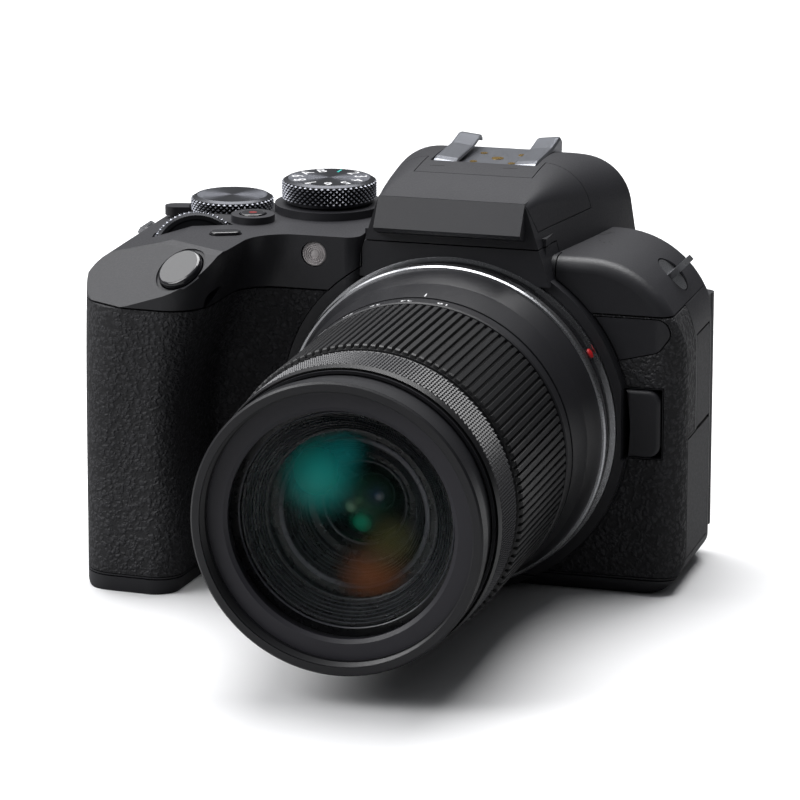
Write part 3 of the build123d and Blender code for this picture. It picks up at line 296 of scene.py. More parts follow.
def painted_reflection_glass(name, depth, painted_spots):
    """Coated inner glass: clear, with painted reflections of the lights (x, z, radius, colour, share) fixed
    on it as coloured glows.
    """
    material, tree, where = blank_material(name)
    colour = add_node(tree, "ShaderNodeRGB").outputs[0]
    colour.default_value = (0.0, 0.0, 0.0, 1.0)
    cover = add_node(tree, "ShaderNodeValue").outputs[0]
    cover.default_value = 0.0
    # each painted reflection fades out from its centre and makes the glass opaque where it lies
    for x, z, radius, shade, amount in painted_spots:
        away = add_node(tree, "ShaderNodeVectorMath",
                {"operation": "DISTANCE", 1: (x * MM, depth * MM, (LENS_Z + z) * MM)}, {0: where})
        fade = add_node(tree, "ShaderNodeMapRange",
                {"interpolation_type": "SMOOTHERSTEP", "From Min": 0.0, "From Max": radius * MM,
                "To Min": amount, "To Max": 0.0}, {"Value": away.outputs["Value"]})
        colour = add_node(tree, "ShaderNodeMix", {"data_type": "RGBA", 7: linear(shade)},
                          {0: fade.outputs[0], 6: colour}).outputs[2]
        cover = add_node(tree, "ShaderNodeMath", {"operation": "MAXIMUM"},
                {0: cover, 1: fade.outputs[0]}).outputs[0]
    shader = add_node(tree, "ShaderNodeBsdfPrincipled",
            {"IOR": 1.5, "Roughness": 0.2, "Specular IOR Level": 0.2},
            {"Base Color": colour, "Alpha": cover})
    finish_material(tree, shader)
    return material


def painted_mark(name, colour):
    """Pad-printed or engraved and filled marking paint: flat and slightly uneven."""
    material, tree, where = blank_material(name)
    speck = add_node(tree, "ShaderNodeTexNoise", {"Scale": 1000 / 0.3, "Detail": 2.0}, {"Vector": where})
    shade = add_node(tree, "ShaderNodeMix", {"data_type": "RGBA", 6: tint(c * 0.85 for c in colour),
            7: tint(colour)}, {0: speck.outputs["Fac"]})
    shader = add_node(tree, "ShaderNodeBsdfPrincipled", {"Roughness": 0.5}, {"Base Color": shade.outputs[2]})
    finish_material(tree, shader)
    return material


# --------------------------------------------------------------------------------------- mesh building
def lens_place(radius, angle, y):
    """A point at this radius and angle (radians, from +X towards +Z) round the lens axis."""
    return Vector((radius * math.cos(angle), y, LENS_Z + radius * math.sin(angle)))


def upright(centre):
    """Places points round an upright axis."""
    return lambda radius, angle, z: Vector((centre[0] + radius * math.cos(angle),
                                            centre[1] + radius * math.sin(angle), z))


def on_plane(origin, x_dir, z_dir):
    """Places points round the normal of a plane."""
    z = Vector(z_dir).normalized()
    x = (Vector(x_dir) - z * Vector(x_dir).dot(z)).normalized()
    y = z.cross(x)

    def place(radius, angle, h):
        return Vector(origin) + x * (radius * math.cos(angle)) + y * (radius * math.sin(angle)) + z * h

    return place


def even(count):
    """Angles of so many equal steps round a circle."""
    return [2 * math.pi * k / count for k in range(count)]


def stacked_rings(rings, angles, place, flat=1.0):
    """Points, faces and lifts (0 groove, 1 crest) of rings joined in order.

    A ring is (radius or list of radii, height); radius 0 is a point, and an unvaried ring gets the lift flat.
    The lifts mix painted shade and painted highlight on the relief materials, so flat sets how brightly an
    unvaried ring is painted.
    """
    points, faces, lifts, rows = [], [], [], []
    for radii, height in rings:
        if radii == 0:
            rows.append([len(points)])
            points.append(place(0, 0, height))
            lifts.append(flat)
            continue
        values = radii if isinstance(radii, list) else [radii] * len(angles)
        low, high = min(values), max(values)
        rows.append(list(range(len(points), len(points) + len(angles))))
        points += [place(r, a, height) for r, a in zip(values, angles)]
        lifts += [flat if high - low < 1e-6 else (r - low) / (high - low) for r in values]
    for lower, upper in zip(rows, rows[1:]):
        if len(lower) == len(upper) == 1:
            continue
        for k in range(len(angles)):
            n = (k + 1) % len(angles)
            if len(lower) == 1:
                faces.append((lower[0], upper[n], upper[k]))
            elif len(upper) == 1:
                faces.append((lower[k], lower[n], upper[0]))
            else:
                a, b, c, d = lower[k], lower[n], upper[n], upper[k]
                slack = lifts[a] + lifts[c] - lifts[b] - lifts[d]
                if abs(slack) < 0.5:
                    faces.append((a, b, c, d))
                elif slack < 0:
                    faces += [(a, b, c), (a, c, d)]
                else:
                    faces += [(a, b, d), (b, c, d)]
    return points, faces, lifts


def make_piece(name, points, faces, body, slot, material, lifts=None, sharp_deg=None):
    """A mesh object from points in millimetres, riding on a body; the slot is not used."""
    mesh = bpy.data.meshes.new(name)
    mesh.from_pydata([p * MM for p in points], [], faces)
    shape = bmesh.new()
    shape.from_mesh(mesh)
    bmesh.ops.recalc_face_normals(shape, faces=shape.faces)
    shape.to_mesh(mesh)
    shape.free()
    # the lifts become the attribute that places painted shade and painted highlight on relief materials
    if lifts:
        layer = mesh.attributes.new("lift", "FLOAT", "POINT")
        layer.data.foreach_set("value", lifts)
    if sharp_deg is not None:
        mesh.shade_smooth()
        mesh.set_sharp_from_angle(angle=math.radians(sharp_deg))
    piece = bpy.data.objects.new(name, mesh)
    bpy.context.scene.collection.objects.link(piece)
    mesh.materials.append(material)
    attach(piece, body)
    return piece


def lathe(name, profile, place, body, slot, material, count=160, sharp_deg=28):
    """A closed profile of (radius, height) turned round an axis."""
    rings = list(profile)
    if rings[0][0] != 0 or rings[-1][0] != 0:
        rings.append(rings[0])
    points, faces, lifts = stacked_rings(rings, even(count), place)
    piece = make_piece(name, points, faces, body, slot, material, lifts, sharp_deg)
    shape = bmesh.new()
    shape.from_mesh(piece.data)
    bmesh.ops.remove_doubles(shape, verts=shape.verts, dist=1e-7)
    bmesh.ops.recalc_face_normals(shape, faces=shape.faces)
    shape.to_mesh(piece.data)
    shape.free()
    piece.data.set_sharp_from_angle(angle=math.radians(sharp_deg))
    return piece


def dome(radius, apex, sag, thick, steps=14):
    """Closed profile of a meniscus with its front at apex, bulging to the subject."""
    curve = (radius ** 2 + sag ** 2) / (2 * sag)
    rs = [radius * k / steps for k in range(steps + 1)]
    drop = [curve - math.sqrt(curve ** 2 - r * r) for r in rs]
    front = [(r, apex + d) for r, d in zip(rs, drop)]
    back = [(r, apex + thick + d) for r, d in zip(rs, drop)]
    return front + back[::-1]


def knurl_rows(radius, low, high, pitch, depth):
    """Rings of a diamond knurl, and its angles: crests and grooves swap from one half pitch to the next."""
    columns = 2 * round(2 * math.pi * radius / pitch)
    count = max(2, 2 * round((high - low) / pitch))
    rows = []
    for k in range(count + 1):
        h = low + (high - low) * k / count
        rows.append(([radius - (depth if (c + k) % 2 else 0.0) for c in range(columns)], h))
    return rows, even(columns)


def text_shape(words, size):
    """The outline of words as a flat mesh, centred on the origin, in millimetres."""
    curve = bpy.data.curves.new("lettering", "FONT")
    curve.body, curve.size, curve.align_x, curve.align_y = words, size, "CENTER", "CENTER"
    curve.resolution_u = 3
    holder = bpy.data.objects.new("lettering", curve)
    mesh = bpy.data.meshes.new_from_object(holder)
    bpy.data.objects.remove(holder)
    bpy.data.curves.remove(curve)
    flat = [Vector(v.co) for v in mesh.vertices]
    faces = [tuple(p.vertices) for p in mesh.polygons]
    bpy.data.meshes.remove(mesh)
    return flat, faces


def raised(flat, faces, place, height):
    """Flat outlines lifted to a thin solid: place(x, y, h) puts each point."""
    count = len(flat)
    points = [place(p.x, p.y, 0.0) for p in flat] + [place(p.x, p.y, height) for p in flat]
    edges = {}
    for face in faces:
        for a, b in zip(face, face[1:] + face[:1]):
            edges[(a, b)] = edges.get((a, b), 0) + 1
    solid = [tuple(reversed(f)) for f in faces] + [tuple(i + count for i in f) for f in faces]
    for a, b in edges:
        if (b, a) not in edges:
            solid.append((a, b, b + count, a + count))
    return points, solid


def box_shape(corners, place=lambda x, y, z: Vector((x, y, z))):
    """Points and faces of a box from ((x0, x1), (y0, y1), (z0, z1))."""
    (x0, x1), (y0, y1), (z0, z1) = corners
    points = [place(x, y, z) for z in (z0, z1) for x, y in ((x0, y0), (x1, y0), (x1, y1), (x0, y1))]
    return points, [(3, 2, 1, 0), (4, 5, 6, 7), (0, 1, 5, 4), (1, 2, 6, 5), (2, 3, 7, 6), (3, 0, 4, 7)]


def joined(parts):
    """Several (points, faces) as one."""
    points, faces = [], []
    for more, sides in parts:
        start = len(points)
        points += more
        faces += [tuple(i + start for i in f) for f in sides]
    return points, faces


def surface_of(node):
    """A search tree of a CAD node's surface."""
    mesh = NODES[node].data
    return BVHTree.FromPolygons([v.co.copy() for v in mesh.vertices],
            [tuple(p.vertices) for p in mesh.polygons])


def skin_point(tree, start, direction):
    """Where a line in millimetres meets a surface, and the normal there."""
    place, normal, _, _ = tree.ray_cast(Vector(start) * MM, Vector(direction).normalized())
    if place is None:
        raise RuntimeError(f"nothing under {start} along {direction}")
    return place / MM, normal


def dress(material, *names):
    """Gives CAD nodes a finish."""
    for name in names:
        mesh = NODES[name].data
        mesh.materials.clear()
        mesh.materials.append(material)


# -------------------------------------------------------------------------------------------- settings
def size_setting(name, value, description):
    return FloatProperty(name=name, default=value, min=0.0, unit="LENGTH", precision=5,
            description=description)


def colour_setting(name, code, description):
    return FloatVectorProperty(name=name, default=paint(code), min=0, max=1, subtype="COLOR",
                               description=description)


class CameraLooks(bpy.types.PropertyGroup):
    """Sizes and colours of the camera's finishes."""
    body_colour: colour_setting("Body plastic", "#222226", "Moulded covers")
    skin_colour: colour_setting("Grip rubber", "#28282c", "Pebbled rubber on the grip")
    barrel_colour: colour_setting("Lens barrel", "#1f1f22", "Painted barrel of the lens")
    rib_colour: colour_setting("Zoom rubber", "#131315", "Ribbed rubber of the zoom ring")
    name_ring_colour: colour_setting("Name ring", "#2c2b31", "Painted ring round the front glass")
    silver_colour: colour_setting("Trim silver", "#c9cacd", "Satin ring at the rear of the lens")
    dial_colour: colour_setting("Dial metal", "#55565b", "Dark anodised dials")
    index_colour: colour_setting("Index red", "#c4161c", "Alignment mark for the lens")
    teal_colour: colour_setting("Teal mark", "#27b3ab", "The one coloured mark on the mode dial")
    mark_colour: colour_setting("White marks", "#e6e6e8", "Printed numbers")
    floor_colour: colour_setting("Floor", "#f2f2f3", "Studio floor")
    dial_pitch: size_setting("Dial knurl pitch", 0.00132, "Width of one diamond on the dials")
    ring_pitch: size_setting("Ring knurl pitch", 0.00132, "Width of one diamond on the control ring")
    rib_pitch: size_setting("Rib pitch", 0.00168, "Distance between ribs of the zoom ring")
    grain_cell: size_setting("Rubber grain", 0.00100, "Size of one pebble of the rubber")


# ------------------------------------------------------------------------------------------- operators
class CAMERA_OT_covers(bpy.types.Operator):
    """Moulded covers of the body and the flash"""
    bl_idname = "camera_looks.covers"
    bl_label = "Covers"

    def execute(self, context):
        s = looks()
        body = moulded("moulded_polycarbonate", s.body_colour)
        dress(body, "top_cover", "front_cover", "rear_cover", "bottom_cover", "flash_cover", "battery_door",
              "release_button")
        dress(moulded("satin_polycarbonate_badge", s.body_colour, grain_mm=0.6, bump=0.1, roughness=0.38),
              "badge_plate")
        return {"FINISHED"}


class CAMERA_OT_skins(bpy.types.Operator):
    """Rubber skins of the grip, the front, the thumb rest and the side doors"""
    bl_idname = "camera_looks.skins"
    bl_label = "Rubber Skins"

    def execute(self, context):
        s = looks()
        dress(leather_grain("leather_grain_rubber", s.skin_colour, s.grain_cell * 1000), "grip_rubber",
              "side_leatherette", "thumb_rest")
        dress(moulded("door_elastomer", s.skin_colour, grain_mm=0.5, bump=0.2, roughness=0.55),
                "terminal_door_upper", "terminal_door_lower", "eyecup")
        return {"FINISHED"}


class CAMERA_OT_barrel(bpy.types.Operator):
    """Fixed and sliding tubes of the lens, its mount and its silver ring"""
    bl_idname = "camera_looks.barrel"
    bl_label = "Lens Barrel"

    def execute(self, context):
        s = looks()
        coat = moulded("semi_gloss_barrel_paint", s.barrel_colour, grain_mm=0.3, bump=0.12, roughness=0.34)
        dress(coat, "lens_outer_barrel", "rear_tube", "front_tube")
        dress(gloss_plastic("black_anodised_ring", s.rib_colour, 0.24), "lens_base_ring")
        dress(moulded("name_ring_paint", s.name_ring_colour, grain_mm=0.35, bump=0.12, roughness=0.42),
                "name_ring")
        silver = brushed("satin_aluminium", s.silver_colour, (1.0, 1.0, 1.0), 0.27)
        dress(silver, "lens_trim_ring")
        dress(brushed("machined_steel", s.silver_colour, (1.0, 1.0, 1.0), 0.22), "body_mount_ring",
              "lens_mount_bayonet", "tripod_socket", "lcd_hinge_pin")
        # filter thread: a fine saw tooth inside the rim
        starts = [THREAD_Y + k * THREAD_PITCH for k in range(THREAD_TEETH)]
        teeth = [corner for y in starts for corner in ((27.45, y), (27.1, y + THREAD_PITCH / 2))]
        teeth += [(27.45, -101.95), (28.0, -101.95), (28.0, THREAD_Y)]
        lathe("filter_thread", teeth, lens_place, "front_tube", "lens_black", coat, 180, 20)
        # red index dot on the base ring
        red = painted_mark("red_index_paint", s.index_colour)
        turn = math.radians(INDEX_DEG)
        middle, outward = lens_place(34.45, turn, INDEX_Y), Vector((math.cos(turn), 0, math.sin(turn)))
        lathe("red_index", [(0, 0.0), (1.05, 0.0), (0.95, 0.28), (0.6, 0.42), (0, 0.46)],
              on_plane(middle, (0, 1, 0), outward), "camera_body", "lens_black", red, 32, 40)
        return {"FINISHED"}


class CAMERA_OT_zoom_ring(bpy.types.Operator):
    """Zoom ring: axial rubber ribs and a band of focal lengths"""
    bl_idname = "camera_looks.zoom_ring"
    bl_label = "Zoom Ring"

    def execute(self, context):
        s = looks()
        # painted shade: the grooves between the ribs take a quarter of the rubber's colour
        rubber = relief_painted_light("ribbed_rubber", [c * 0.25 for c in s.rib_colour], s.rib_colour, 0.0, 0.42)
        base, top, front, rear = RIB_FOOT, RIB_TOP, RIB_FRONT, RIB_REAR
        count = round(2 * math.pi * top / (s.rib_pitch * 1000))
        step = 2 * math.pi / count
        shares = ((0.00, 0.0), (0.26, 0.0), (0.31, 0.75), (0.37, 1.0), (0.89, 1.0), (0.95, 0.75))
        angles = [step * (k + share) for k in range(count) for share, _ in shares]
        heights = [height for _ in range(count) for _, height in shares]
        rings = [(RING_BORE, rear), (base, rear + 0.1)]
        for y, share in ((rear - 0.2, 0.0), (rear - 0.35, 0.7), (rear - 0.7, 1.0), (front + 0.7, 1.0),
                         (front + 0.35, 0.7), (front + 0.2, 0.0)):
            rings.append(([base + (top - base) * h * share for h in heights], y))
        rings += [(base, front - 0.1), (RING_BORE, front - 0.2), (RING_BORE, rear)]
        points, faces, lifts = stacked_rings(rings, angles, lens_place)
        ribs = make_piece("zoom_ribs", points, faces, "zoom_ring", "zoom_rubber", rubber, lifts, 24)
        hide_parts("zoom_ring")
        coat = moulded("zoom_band_paint", s.barrel_colour, grain_mm=0.3, bump=0.12, roughness=0.36)
        lathe("zoom_band", [(RING_BORE, -41.75), (31.1, -41.75), (31.25, -41.95), (31.15, -44.8),
                (30.9, -45.1), (RING_BORE, -45.1)], lens_place, "zoom_ring", "lens_black", coat, 200)
        white = painted_mark("white_marking_paint", s.mark_colour)
        parts = []
        for words, degrees in FOCAL_MARKS:
            flat, sides = text_shape(words, 2.7)

            # the figures face the user behind the camera, so their tops point to the subject
            def on_band(x, y, h, turn=math.radians(degrees)):
                return lens_place(BAND_R + h, turn + x / 31.2, BAND_Y - y)

            parts.append(raised(flat, sides, on_band, 0.04))
        points, faces = joined(parts)
        make_piece("focal_numbers", points, faces, "zoom_ring", "lens_black", white)

        def on_flare(x, y, h):
            return lens_place(31.62 + (TICK_REAR - y) * -0.14 + h, math.pi / 2 + x / 31.5, y)

        tick = box_shape(((-0.12, 0.12), (TICK_FRONT, TICK_REAR), (0.0, 0.05)), on_flare)
        make_piece("focal_index", *tick, "camera_body", "lens_black", white)
        return {"FINISHED"}


class CAMERA_OT_control_ring(bpy.types.Operator):
    """Control ring with a fine diamond knurl"""
    bl_idname = "camera_looks.control_ring"
    bl_label = "Control Ring"

    def execute(self, context):
        s = looks()
        # painted shade in the grooves and painted highlight on the crests of the knurl, with the plain rings
        # painted at a lift of 0.25
        metal = relief_painted_light("knurled_control_ring", [c * 0.12 for c in s.barrel_colour],
                            [c * 3.2 for c in s.barrel_colour], 0.0, 0.34)
        rows, angles = knurl_rows(KNURL_R, KNURL_FRONT, KNURL_REAR, s.ring_pitch * 1000, 0.42)
        rings = [(RING_BORE, -94.3), (29.7, -94.45), (30.05, -92.9), (29.75, -92.6)] + rows
        rings += [(29.75, -81.95), (29.9, -81.7), (RING_BORE, -81.65), (RING_BORE, -94.3)]
        points, faces, lifts = stacked_rings(rings, angles, lens_place, 0.25)
        ring = make_piece("control_knurl", points, faces, "control_ring", "lens_black", metal, lifts, 24)
        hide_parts("control_ring")
        return {"FINISHED"}


class CAMERA_OT_glass(bpy.types.Operator):
    """Front glass, the glasses behind it and the stepped black baffles between them"""
    bl_idname = "camera_looks.glass"
    bl_label = "Lens Glass"

    def execute(self, context):
        outer = coated_glass("coated_front_glass", paint("#bfeae6"), 0.05)
        front = lathe("front_glass", dome(23.2, -100.9, 2.6, 1.4), lens_place, "front_tube", "clear_glass",
                outer, 128, 30)
        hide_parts("front_element")
        # the second and third glasses carry painted reflections instead of mirroring the lights
        second_glass_reflections = painted_reflection_glass("second_glass_painted_reflections", FRONT_REFLECTION_Y, FRONT_PAINTED_REFLECTIONS)
        painted_spots = painted_reflection_glass("rear_group_painted_reflections", REAR_REFLECTION_Y, REAR_PAINTED_REFLECTIONS)
        for name, radius, apex, sag, thick, coat in (("second_glass", 16.9, -94.6, 2.6, 0.8, second_glass_reflections),
                                                     ("third_glass", 7.4, -82.0, 1.2, 0.6, painted_spots)):
            lathe(name, dome(radius, apex, sag, thick), lens_place, "front_tube", "clear_glass", coat, 96, 30)
        black = moulded("matt_black_baffle", paint("#101012"), grain_mm=2.0, bump=0.0, roughness=0.28)
        # painted highlight: pale grey rings stand for the light caught on the edges of the black baffle steps
        painted_edge_highlight = moulded("baffle_painted_highlight", paint("#4a4b51"), grain_mm=2.0, bump=0.0, roughness=0.30)
        profile = [(25.6, -97.2), (21.6, -97.2)]
        # stepped cone: each step is a narrow land and a riser
        for k in range(9):
            r, y = 21.4 - k * 0.48, -96.9 + k * 0.36
            profile += [(r, y), (r - 0.1, y + 0.26), (r - 0.48, y + 0.30)]
        profile += [(17.0, -93.0), (16.9, -91.6), (14.6, -91.4), (14.2, -91.0)]
        for k in range(6):
            r, y = 14.0 - k * 0.42, -90.8 + k * 0.55
            profile += [(r, y), (r - 0.08, y + 0.42), (r - 0.42, y + 0.46)]
        profile += [(11.3, -86.6), (11.1, -85.6), (9.6, -85.4), (8.2, -83.6), (8.0, -82.4), (7.45, -81.8),
                (7.4, -78.0), (4.0, -77.6), (3.8, -74.0), (0, -72.0), (0, -70.0), (25.6, -70.0)]
        lathe("lens_baffle", profile, lens_place, "front_tube", "lens_black", black, 180, 20)
        for name, (radius, y, wide) in BAFFLE_HIGHLIGHT_RINGS.items():
            lathe(name, [(radius, y), (radius + wide * 0.5, y - 0.12), (radius + wide, y),
                    (radius + wide, y + 0.4), (radius, y + 0.4)], lens_place, "front_tube", "lens_black",
                    painted_edge_highlight, 160, 50)
        dress(coated_glass("coated_rear_element", paint("#8fd0c8"), 0.8), "rear_element", "eyepiece_lens")
        return {"FINISHED"}


class CAMERA_OT_dials(bpy.types.Operator):
    """Mode dial and quick dial: knurled sides and lathe-turned tops, with generic numbers on the mode dial"""
    bl_idname = "camera_looks.dials"
    bl_label = "Top Dials"

    def execute(self, context):
        s = looks()
        pitch = s.dial_pitch * 1000
        # painted shade in the grooves and painted highlight on the crests of the knurls, with the plain rings
        # painted at a lift of 0.3 on the dials and 0.2 on the wheel
        metal = relief_painted_light("knurled_anodised_aluminium", [c * 0.05 for c in s.dial_colour],
                            [min(1, c * 3.4) for c in s.dial_colour], 0.85, 0.34)
        for name, centre, radius, base, top, low in (("mode_dial", MODE_DIAL, 10.2, 76.5, 81.5, 71.4),
                                                     ("quick_dial", QUICK_DIAL, 9.0, 72.5, 76.3, 68.4)):
            place = upright(centre)
            rows, angles = knurl_rows(radius - 0.05, base + 0.9, top - 0.75, pitch, 0.5)
            rings = [(0, low), (2.0, low + 0.01), (2.0, base), (radius - 0.9, base + 0.02),
                    (radius - 0.75, base + 0.7)]
            rings += rows + [(radius - 0.55, top - 0.45), (radius - 1.15, top - 0.08),
                    (radius - 1.3, top - 0.02), (radius - 1.4, top - 0.12), (0, top - 0.13)]
            points, faces, lifts = stacked_rings(rings, angles, place, 0.3)
            knob = make_piece(name + "_knurl", points, faces, name, "dial_metal", metal, lifts, 24)
            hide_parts(name)
            face = turned_metal(name + "_turned_face", [c * 1.9 for c in s.dial_colour], (*centre, top))
            lathe(name + "_face", [(0, top - 0.13), (radius - 1.45, top - 0.13), (radius - 1.5, top - 0.05),
                                   (0, top - 0.05)], place, name, "dial_metal", face, 96, 30)
        white = painted_mark("white_marking_paint", s.mark_colour)
        teal = painted_mark("teal_marking_paint", s.teal_colour)
        top, parts = 81.45, []
        for k, word in enumerate(MODE_WORDS):
            turn = math.radians(88 - 360 * k / len(MODE_WORDS))
            flat, sides = text_shape(word, 3.9)

            def stand(x, y, h, t=turn):
                out = Vector((math.cos(t), math.sin(t), 0))
                side = Vector((-math.sin(t), math.cos(t), 0))
                return Vector((*MODE_DIAL, top + h)) + out * (6.6 + y) - side * x

            part = raised(flat, sides, stand, 0.03)
            if k == 0:
                make_piece("mode_mark_teal", *part, "mode_dial", "dial_metal", teal)
            else:
                parts.append(part)
        make_piece("mode_marks", *joined(parts), "mode_dial", "dial_metal", white)
        # the wheel in the grip, on its leaning axis
        yaw, lean = math.radians(WHEEL_YAW), math.radians(WHEEL_LEAN)
        axis = (math.sin(yaw) * math.cos(lean), -math.cos(yaw) * math.cos(lean), math.sin(lean))
        place = on_plane(WHEEL_CENTRE, (math.cos(yaw), math.sin(yaw), 0), axis)
        rows, angles = knurl_rows(WHEEL_R, -1.7, 1.7, pitch * 0.8, 0.45)
        rings = [(0, -2.25), (9.0, -2.25), (9.5, -1.95)] + rows + [(9.5, 1.95), (9.0, 2.28), (8.2, 2.3),
                (7.9, 2.1), (0, 2.1)]
        points, faces, lifts = stacked_rings(rings, angles, place, 0.2)
        wheel = make_piece("main_dial_knurl", points, faces, "main_dial", "dial_metal", metal, lifts, 24)
        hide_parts("main_dial")
        return {"FINISHED"}


class CAMERA_OT_buttons(bpy.types.Operator):
    """Buttons, levers and keys"""
    bl_idname = "camera_looks.buttons"
    bl_label = "Buttons"

    def execute(self, context):
        s = looks()
        dress(gloss_plastic("piano_black_button", paint("#16161a"), 0.16), "shutter_button", "mfn_button",
              "movie_button")
        dress(moulded("lever_polyamide", s.body_colour, grain_mm=0.3, bump=0.15, roughness=0.36),
                "power_lever")
        dress(moulded("key_plastic", paint("#27272b"), grain_mm=0.3, bump=0.15, roughness=0.40),
                "menu_button", "info_button", "play_button", "af_on_button", "set_button", "cross_keys",
                "joystick")
        red = painted_mark("record_mark_red", [c * 0.3 for c in s.index_colour])
        lathe("record_mark", [(0, MOVIE_TOP), (0.85, MOVIE_TOP), (0.85, MOVIE_TOP + 0.05),
                (0, MOVIE_TOP + 0.05)], upright(MOVIE_BUTTON), "movie_button", "button_gloss", red, 40, 30)
        return {"FINISHED"}


def build_shoe():
    """Folded steel shoe: a plate with a turned-up front lip and two rails that rise to ears at the back."""
    steel = brushed("folded_steel_shoe", paint("#85878d"), (1.0, 0.1, 1.0), 0.36, 0.9)
    points, faces, n = [], [], 2 * len(SHOE_HALF)
    for y, top in SHOE_TOPS:
        side = [(x, z if z > 0 else top + z) for x, z in SHOE_HALF]
        points += [Vector((x, y, z)) for x, z in side + [(-x, z) for x, z in reversed(side)]]
    for row in range(len(SHOE_TOPS) - 1):
        for k in range(n):
            a, b = row * n + k, row * n + (k + 1) % n
            faces.append((a, b, b + n, a + n))
    faces += [tuple(range(n)), tuple(range(len(points) - n, len(points)))[::-1]]
    lip = box_shape(((-9.6, 9.6), (5.3, 6.2), (83.3, 85.2)))
    pad = box_shape(((-9.6, 9.6), (6.2, 27.6), (83.2, 84.25)))
    shoe = make_piece("shoe_rails", *joined([(points, faces), lip, pad]), "camera_body", "shoe_steel", steel)
    soften = shoe.modifiers.new("edges", "BEVEL")
    soften.width, soften.segments, soften.limit_method = 0.16 * MM, 2, "ANGLE"
    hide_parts("hot_shoe")


class CAMERA_OT_fittings(bpy.types.Operator):
    """Hot shoe, strap lugs, screws, focus lamp and speaker openings"""
    bl_idname = "camera_looks.fittings"
    bl_label = "Fittings"

    def execute(self, context):
        dress(brushed("brushed_steel_fittings", paint("#b9babd"), (1.0, 1.0, 0.08), 0.28), "strap_lugs")
        dress(brushed("blackened_screws", paint("#3a3a3e"), (1.0, 1.0, 1.0), 0.35), "case_screws")
        dress(brushed("gold_plated_contacts", paint("#d9b25a"), (1.0, 1.0, 1.0), 0.25), "hot_shoe_contacts")
        frosted = moulded("frosted_flash_window", paint("#c9c6c0"), grain_mm=0.8, bump=0.15, roughness=0.25,
                coat=0.5)
        dress(frosted, "flash_window")
        pearl = moulded("frosted_acrylic_lamp", paint("#b9b4b4"), grain_mm=0.8, bump=0.1, roughness=0.22,
                coat=0.5)
        low, high = (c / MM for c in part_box("af_lamp_lens"))
        radius, middle = (high.x - low.x) / 2, ((low.x + high.x) / 2, low.y, (low.z + high.z) / 2)
        profile = [(0, -1.0), (radius - 0.05, -1.0), (radius - 0.05, -0.35), (radius - 0.3, -0.08)]
        for k in range(4):
            r = radius - 0.45 - k * 0.42
            profile += [(r, -0.04), (r - 0.08, -0.26), (r - 0.3, -0.20)]
        profile.append((0, -0.02))
        lamp = lathe("focus_lamp", profile, on_plane(middle, (1, 0, 0), (0, -1, 0)), "camera_body",
                "lamp_clear", pearl, 64, 30)
        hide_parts("af_lamp_lens")
        build_shoe()
        tree = surface_of("top_cover")
        # painted shade: near-black patches sunk into the cover stand for the dark inside of the holes and
        # slots
        dark = moulded("painted_opening_shade", paint("#050506"), grain_mm=0.5, bump=0.0, roughness=0.7)
        for k, (x, y, long, wide) in enumerate(TOP_OPENINGS):
            spot, normal = skin_point(tree, (x, y, 120), (0, 0, -1))
            place = on_plane(spot - normal * 0.12, OPENING_LEAN, normal)
            points, faces = stacked_rings([(0, 0.0), (1.0, 0.0), (1.0, 0.15), (0, 0.15)], even(20), place)[:2]
            across = (Vector(OPENING_LEAN) - normal * normal.dot(Vector(OPENING_LEAN))).normalized()
            other = normal.cross(across)
            points = [spot + across * (p - spot).dot(across) * long / 2
                    + other * (p - spot).dot(other) * wide / 2 + normal * (p - spot).dot(normal)
                    for p in points]
            make_piece(f"top_opening_shade_{k}", points, faces, "camera_body", "body_plastic", dark, None, 40)
        return {"FINISHED"}


class CAMERA_OT_screen(bpy.types.Operator):
    """Swinging screen with its glass, frame and arm"""
    bl_idname = "camera_looks.screen"
    bl_label = "Screen"

    def execute(self, context):
        s = looks()
        dress(moulded("screen_frame_plastic", s.body_colour, grain_mm=0.4, bump=0.2, roughness=0.42),
                "lcd_frame", "lcd_arm")
        dress(gloss_plastic("screen_cover_glass", paint("#0a0b0e"), 0.05), "lcd_glass")
        return {"FINISHED"}


class CAMERA_OT_internals(bpy.types.Operator):
    """Pieces inside the body"""
    bl_idname = "camera_looks.internals"
    bl_label = "Internals"

    def execute(self, context):
        dress(brushed("cast_magnesium_chassis", paint("#8e8f93"), (1.0, 1.0, 1.0), 0.5), "chassis",
                "shutter_unit")
        dress(moulded("solder_mask_board", paint("#1d5a38"), grain_mm=0.8, bump=0.2, roughness=0.3),
                "main_board")
        dress(moulded("inner_black_plastic", paint("#1a1a1c"), grain_mm=0.5), "battery", "evf_module",
              "terminal_block", "flash_head")
        dress(gloss_plastic("sensor_cover_glass", paint("#241a38"), 0.05), "image_sensor")
        return {"FINISHED"}


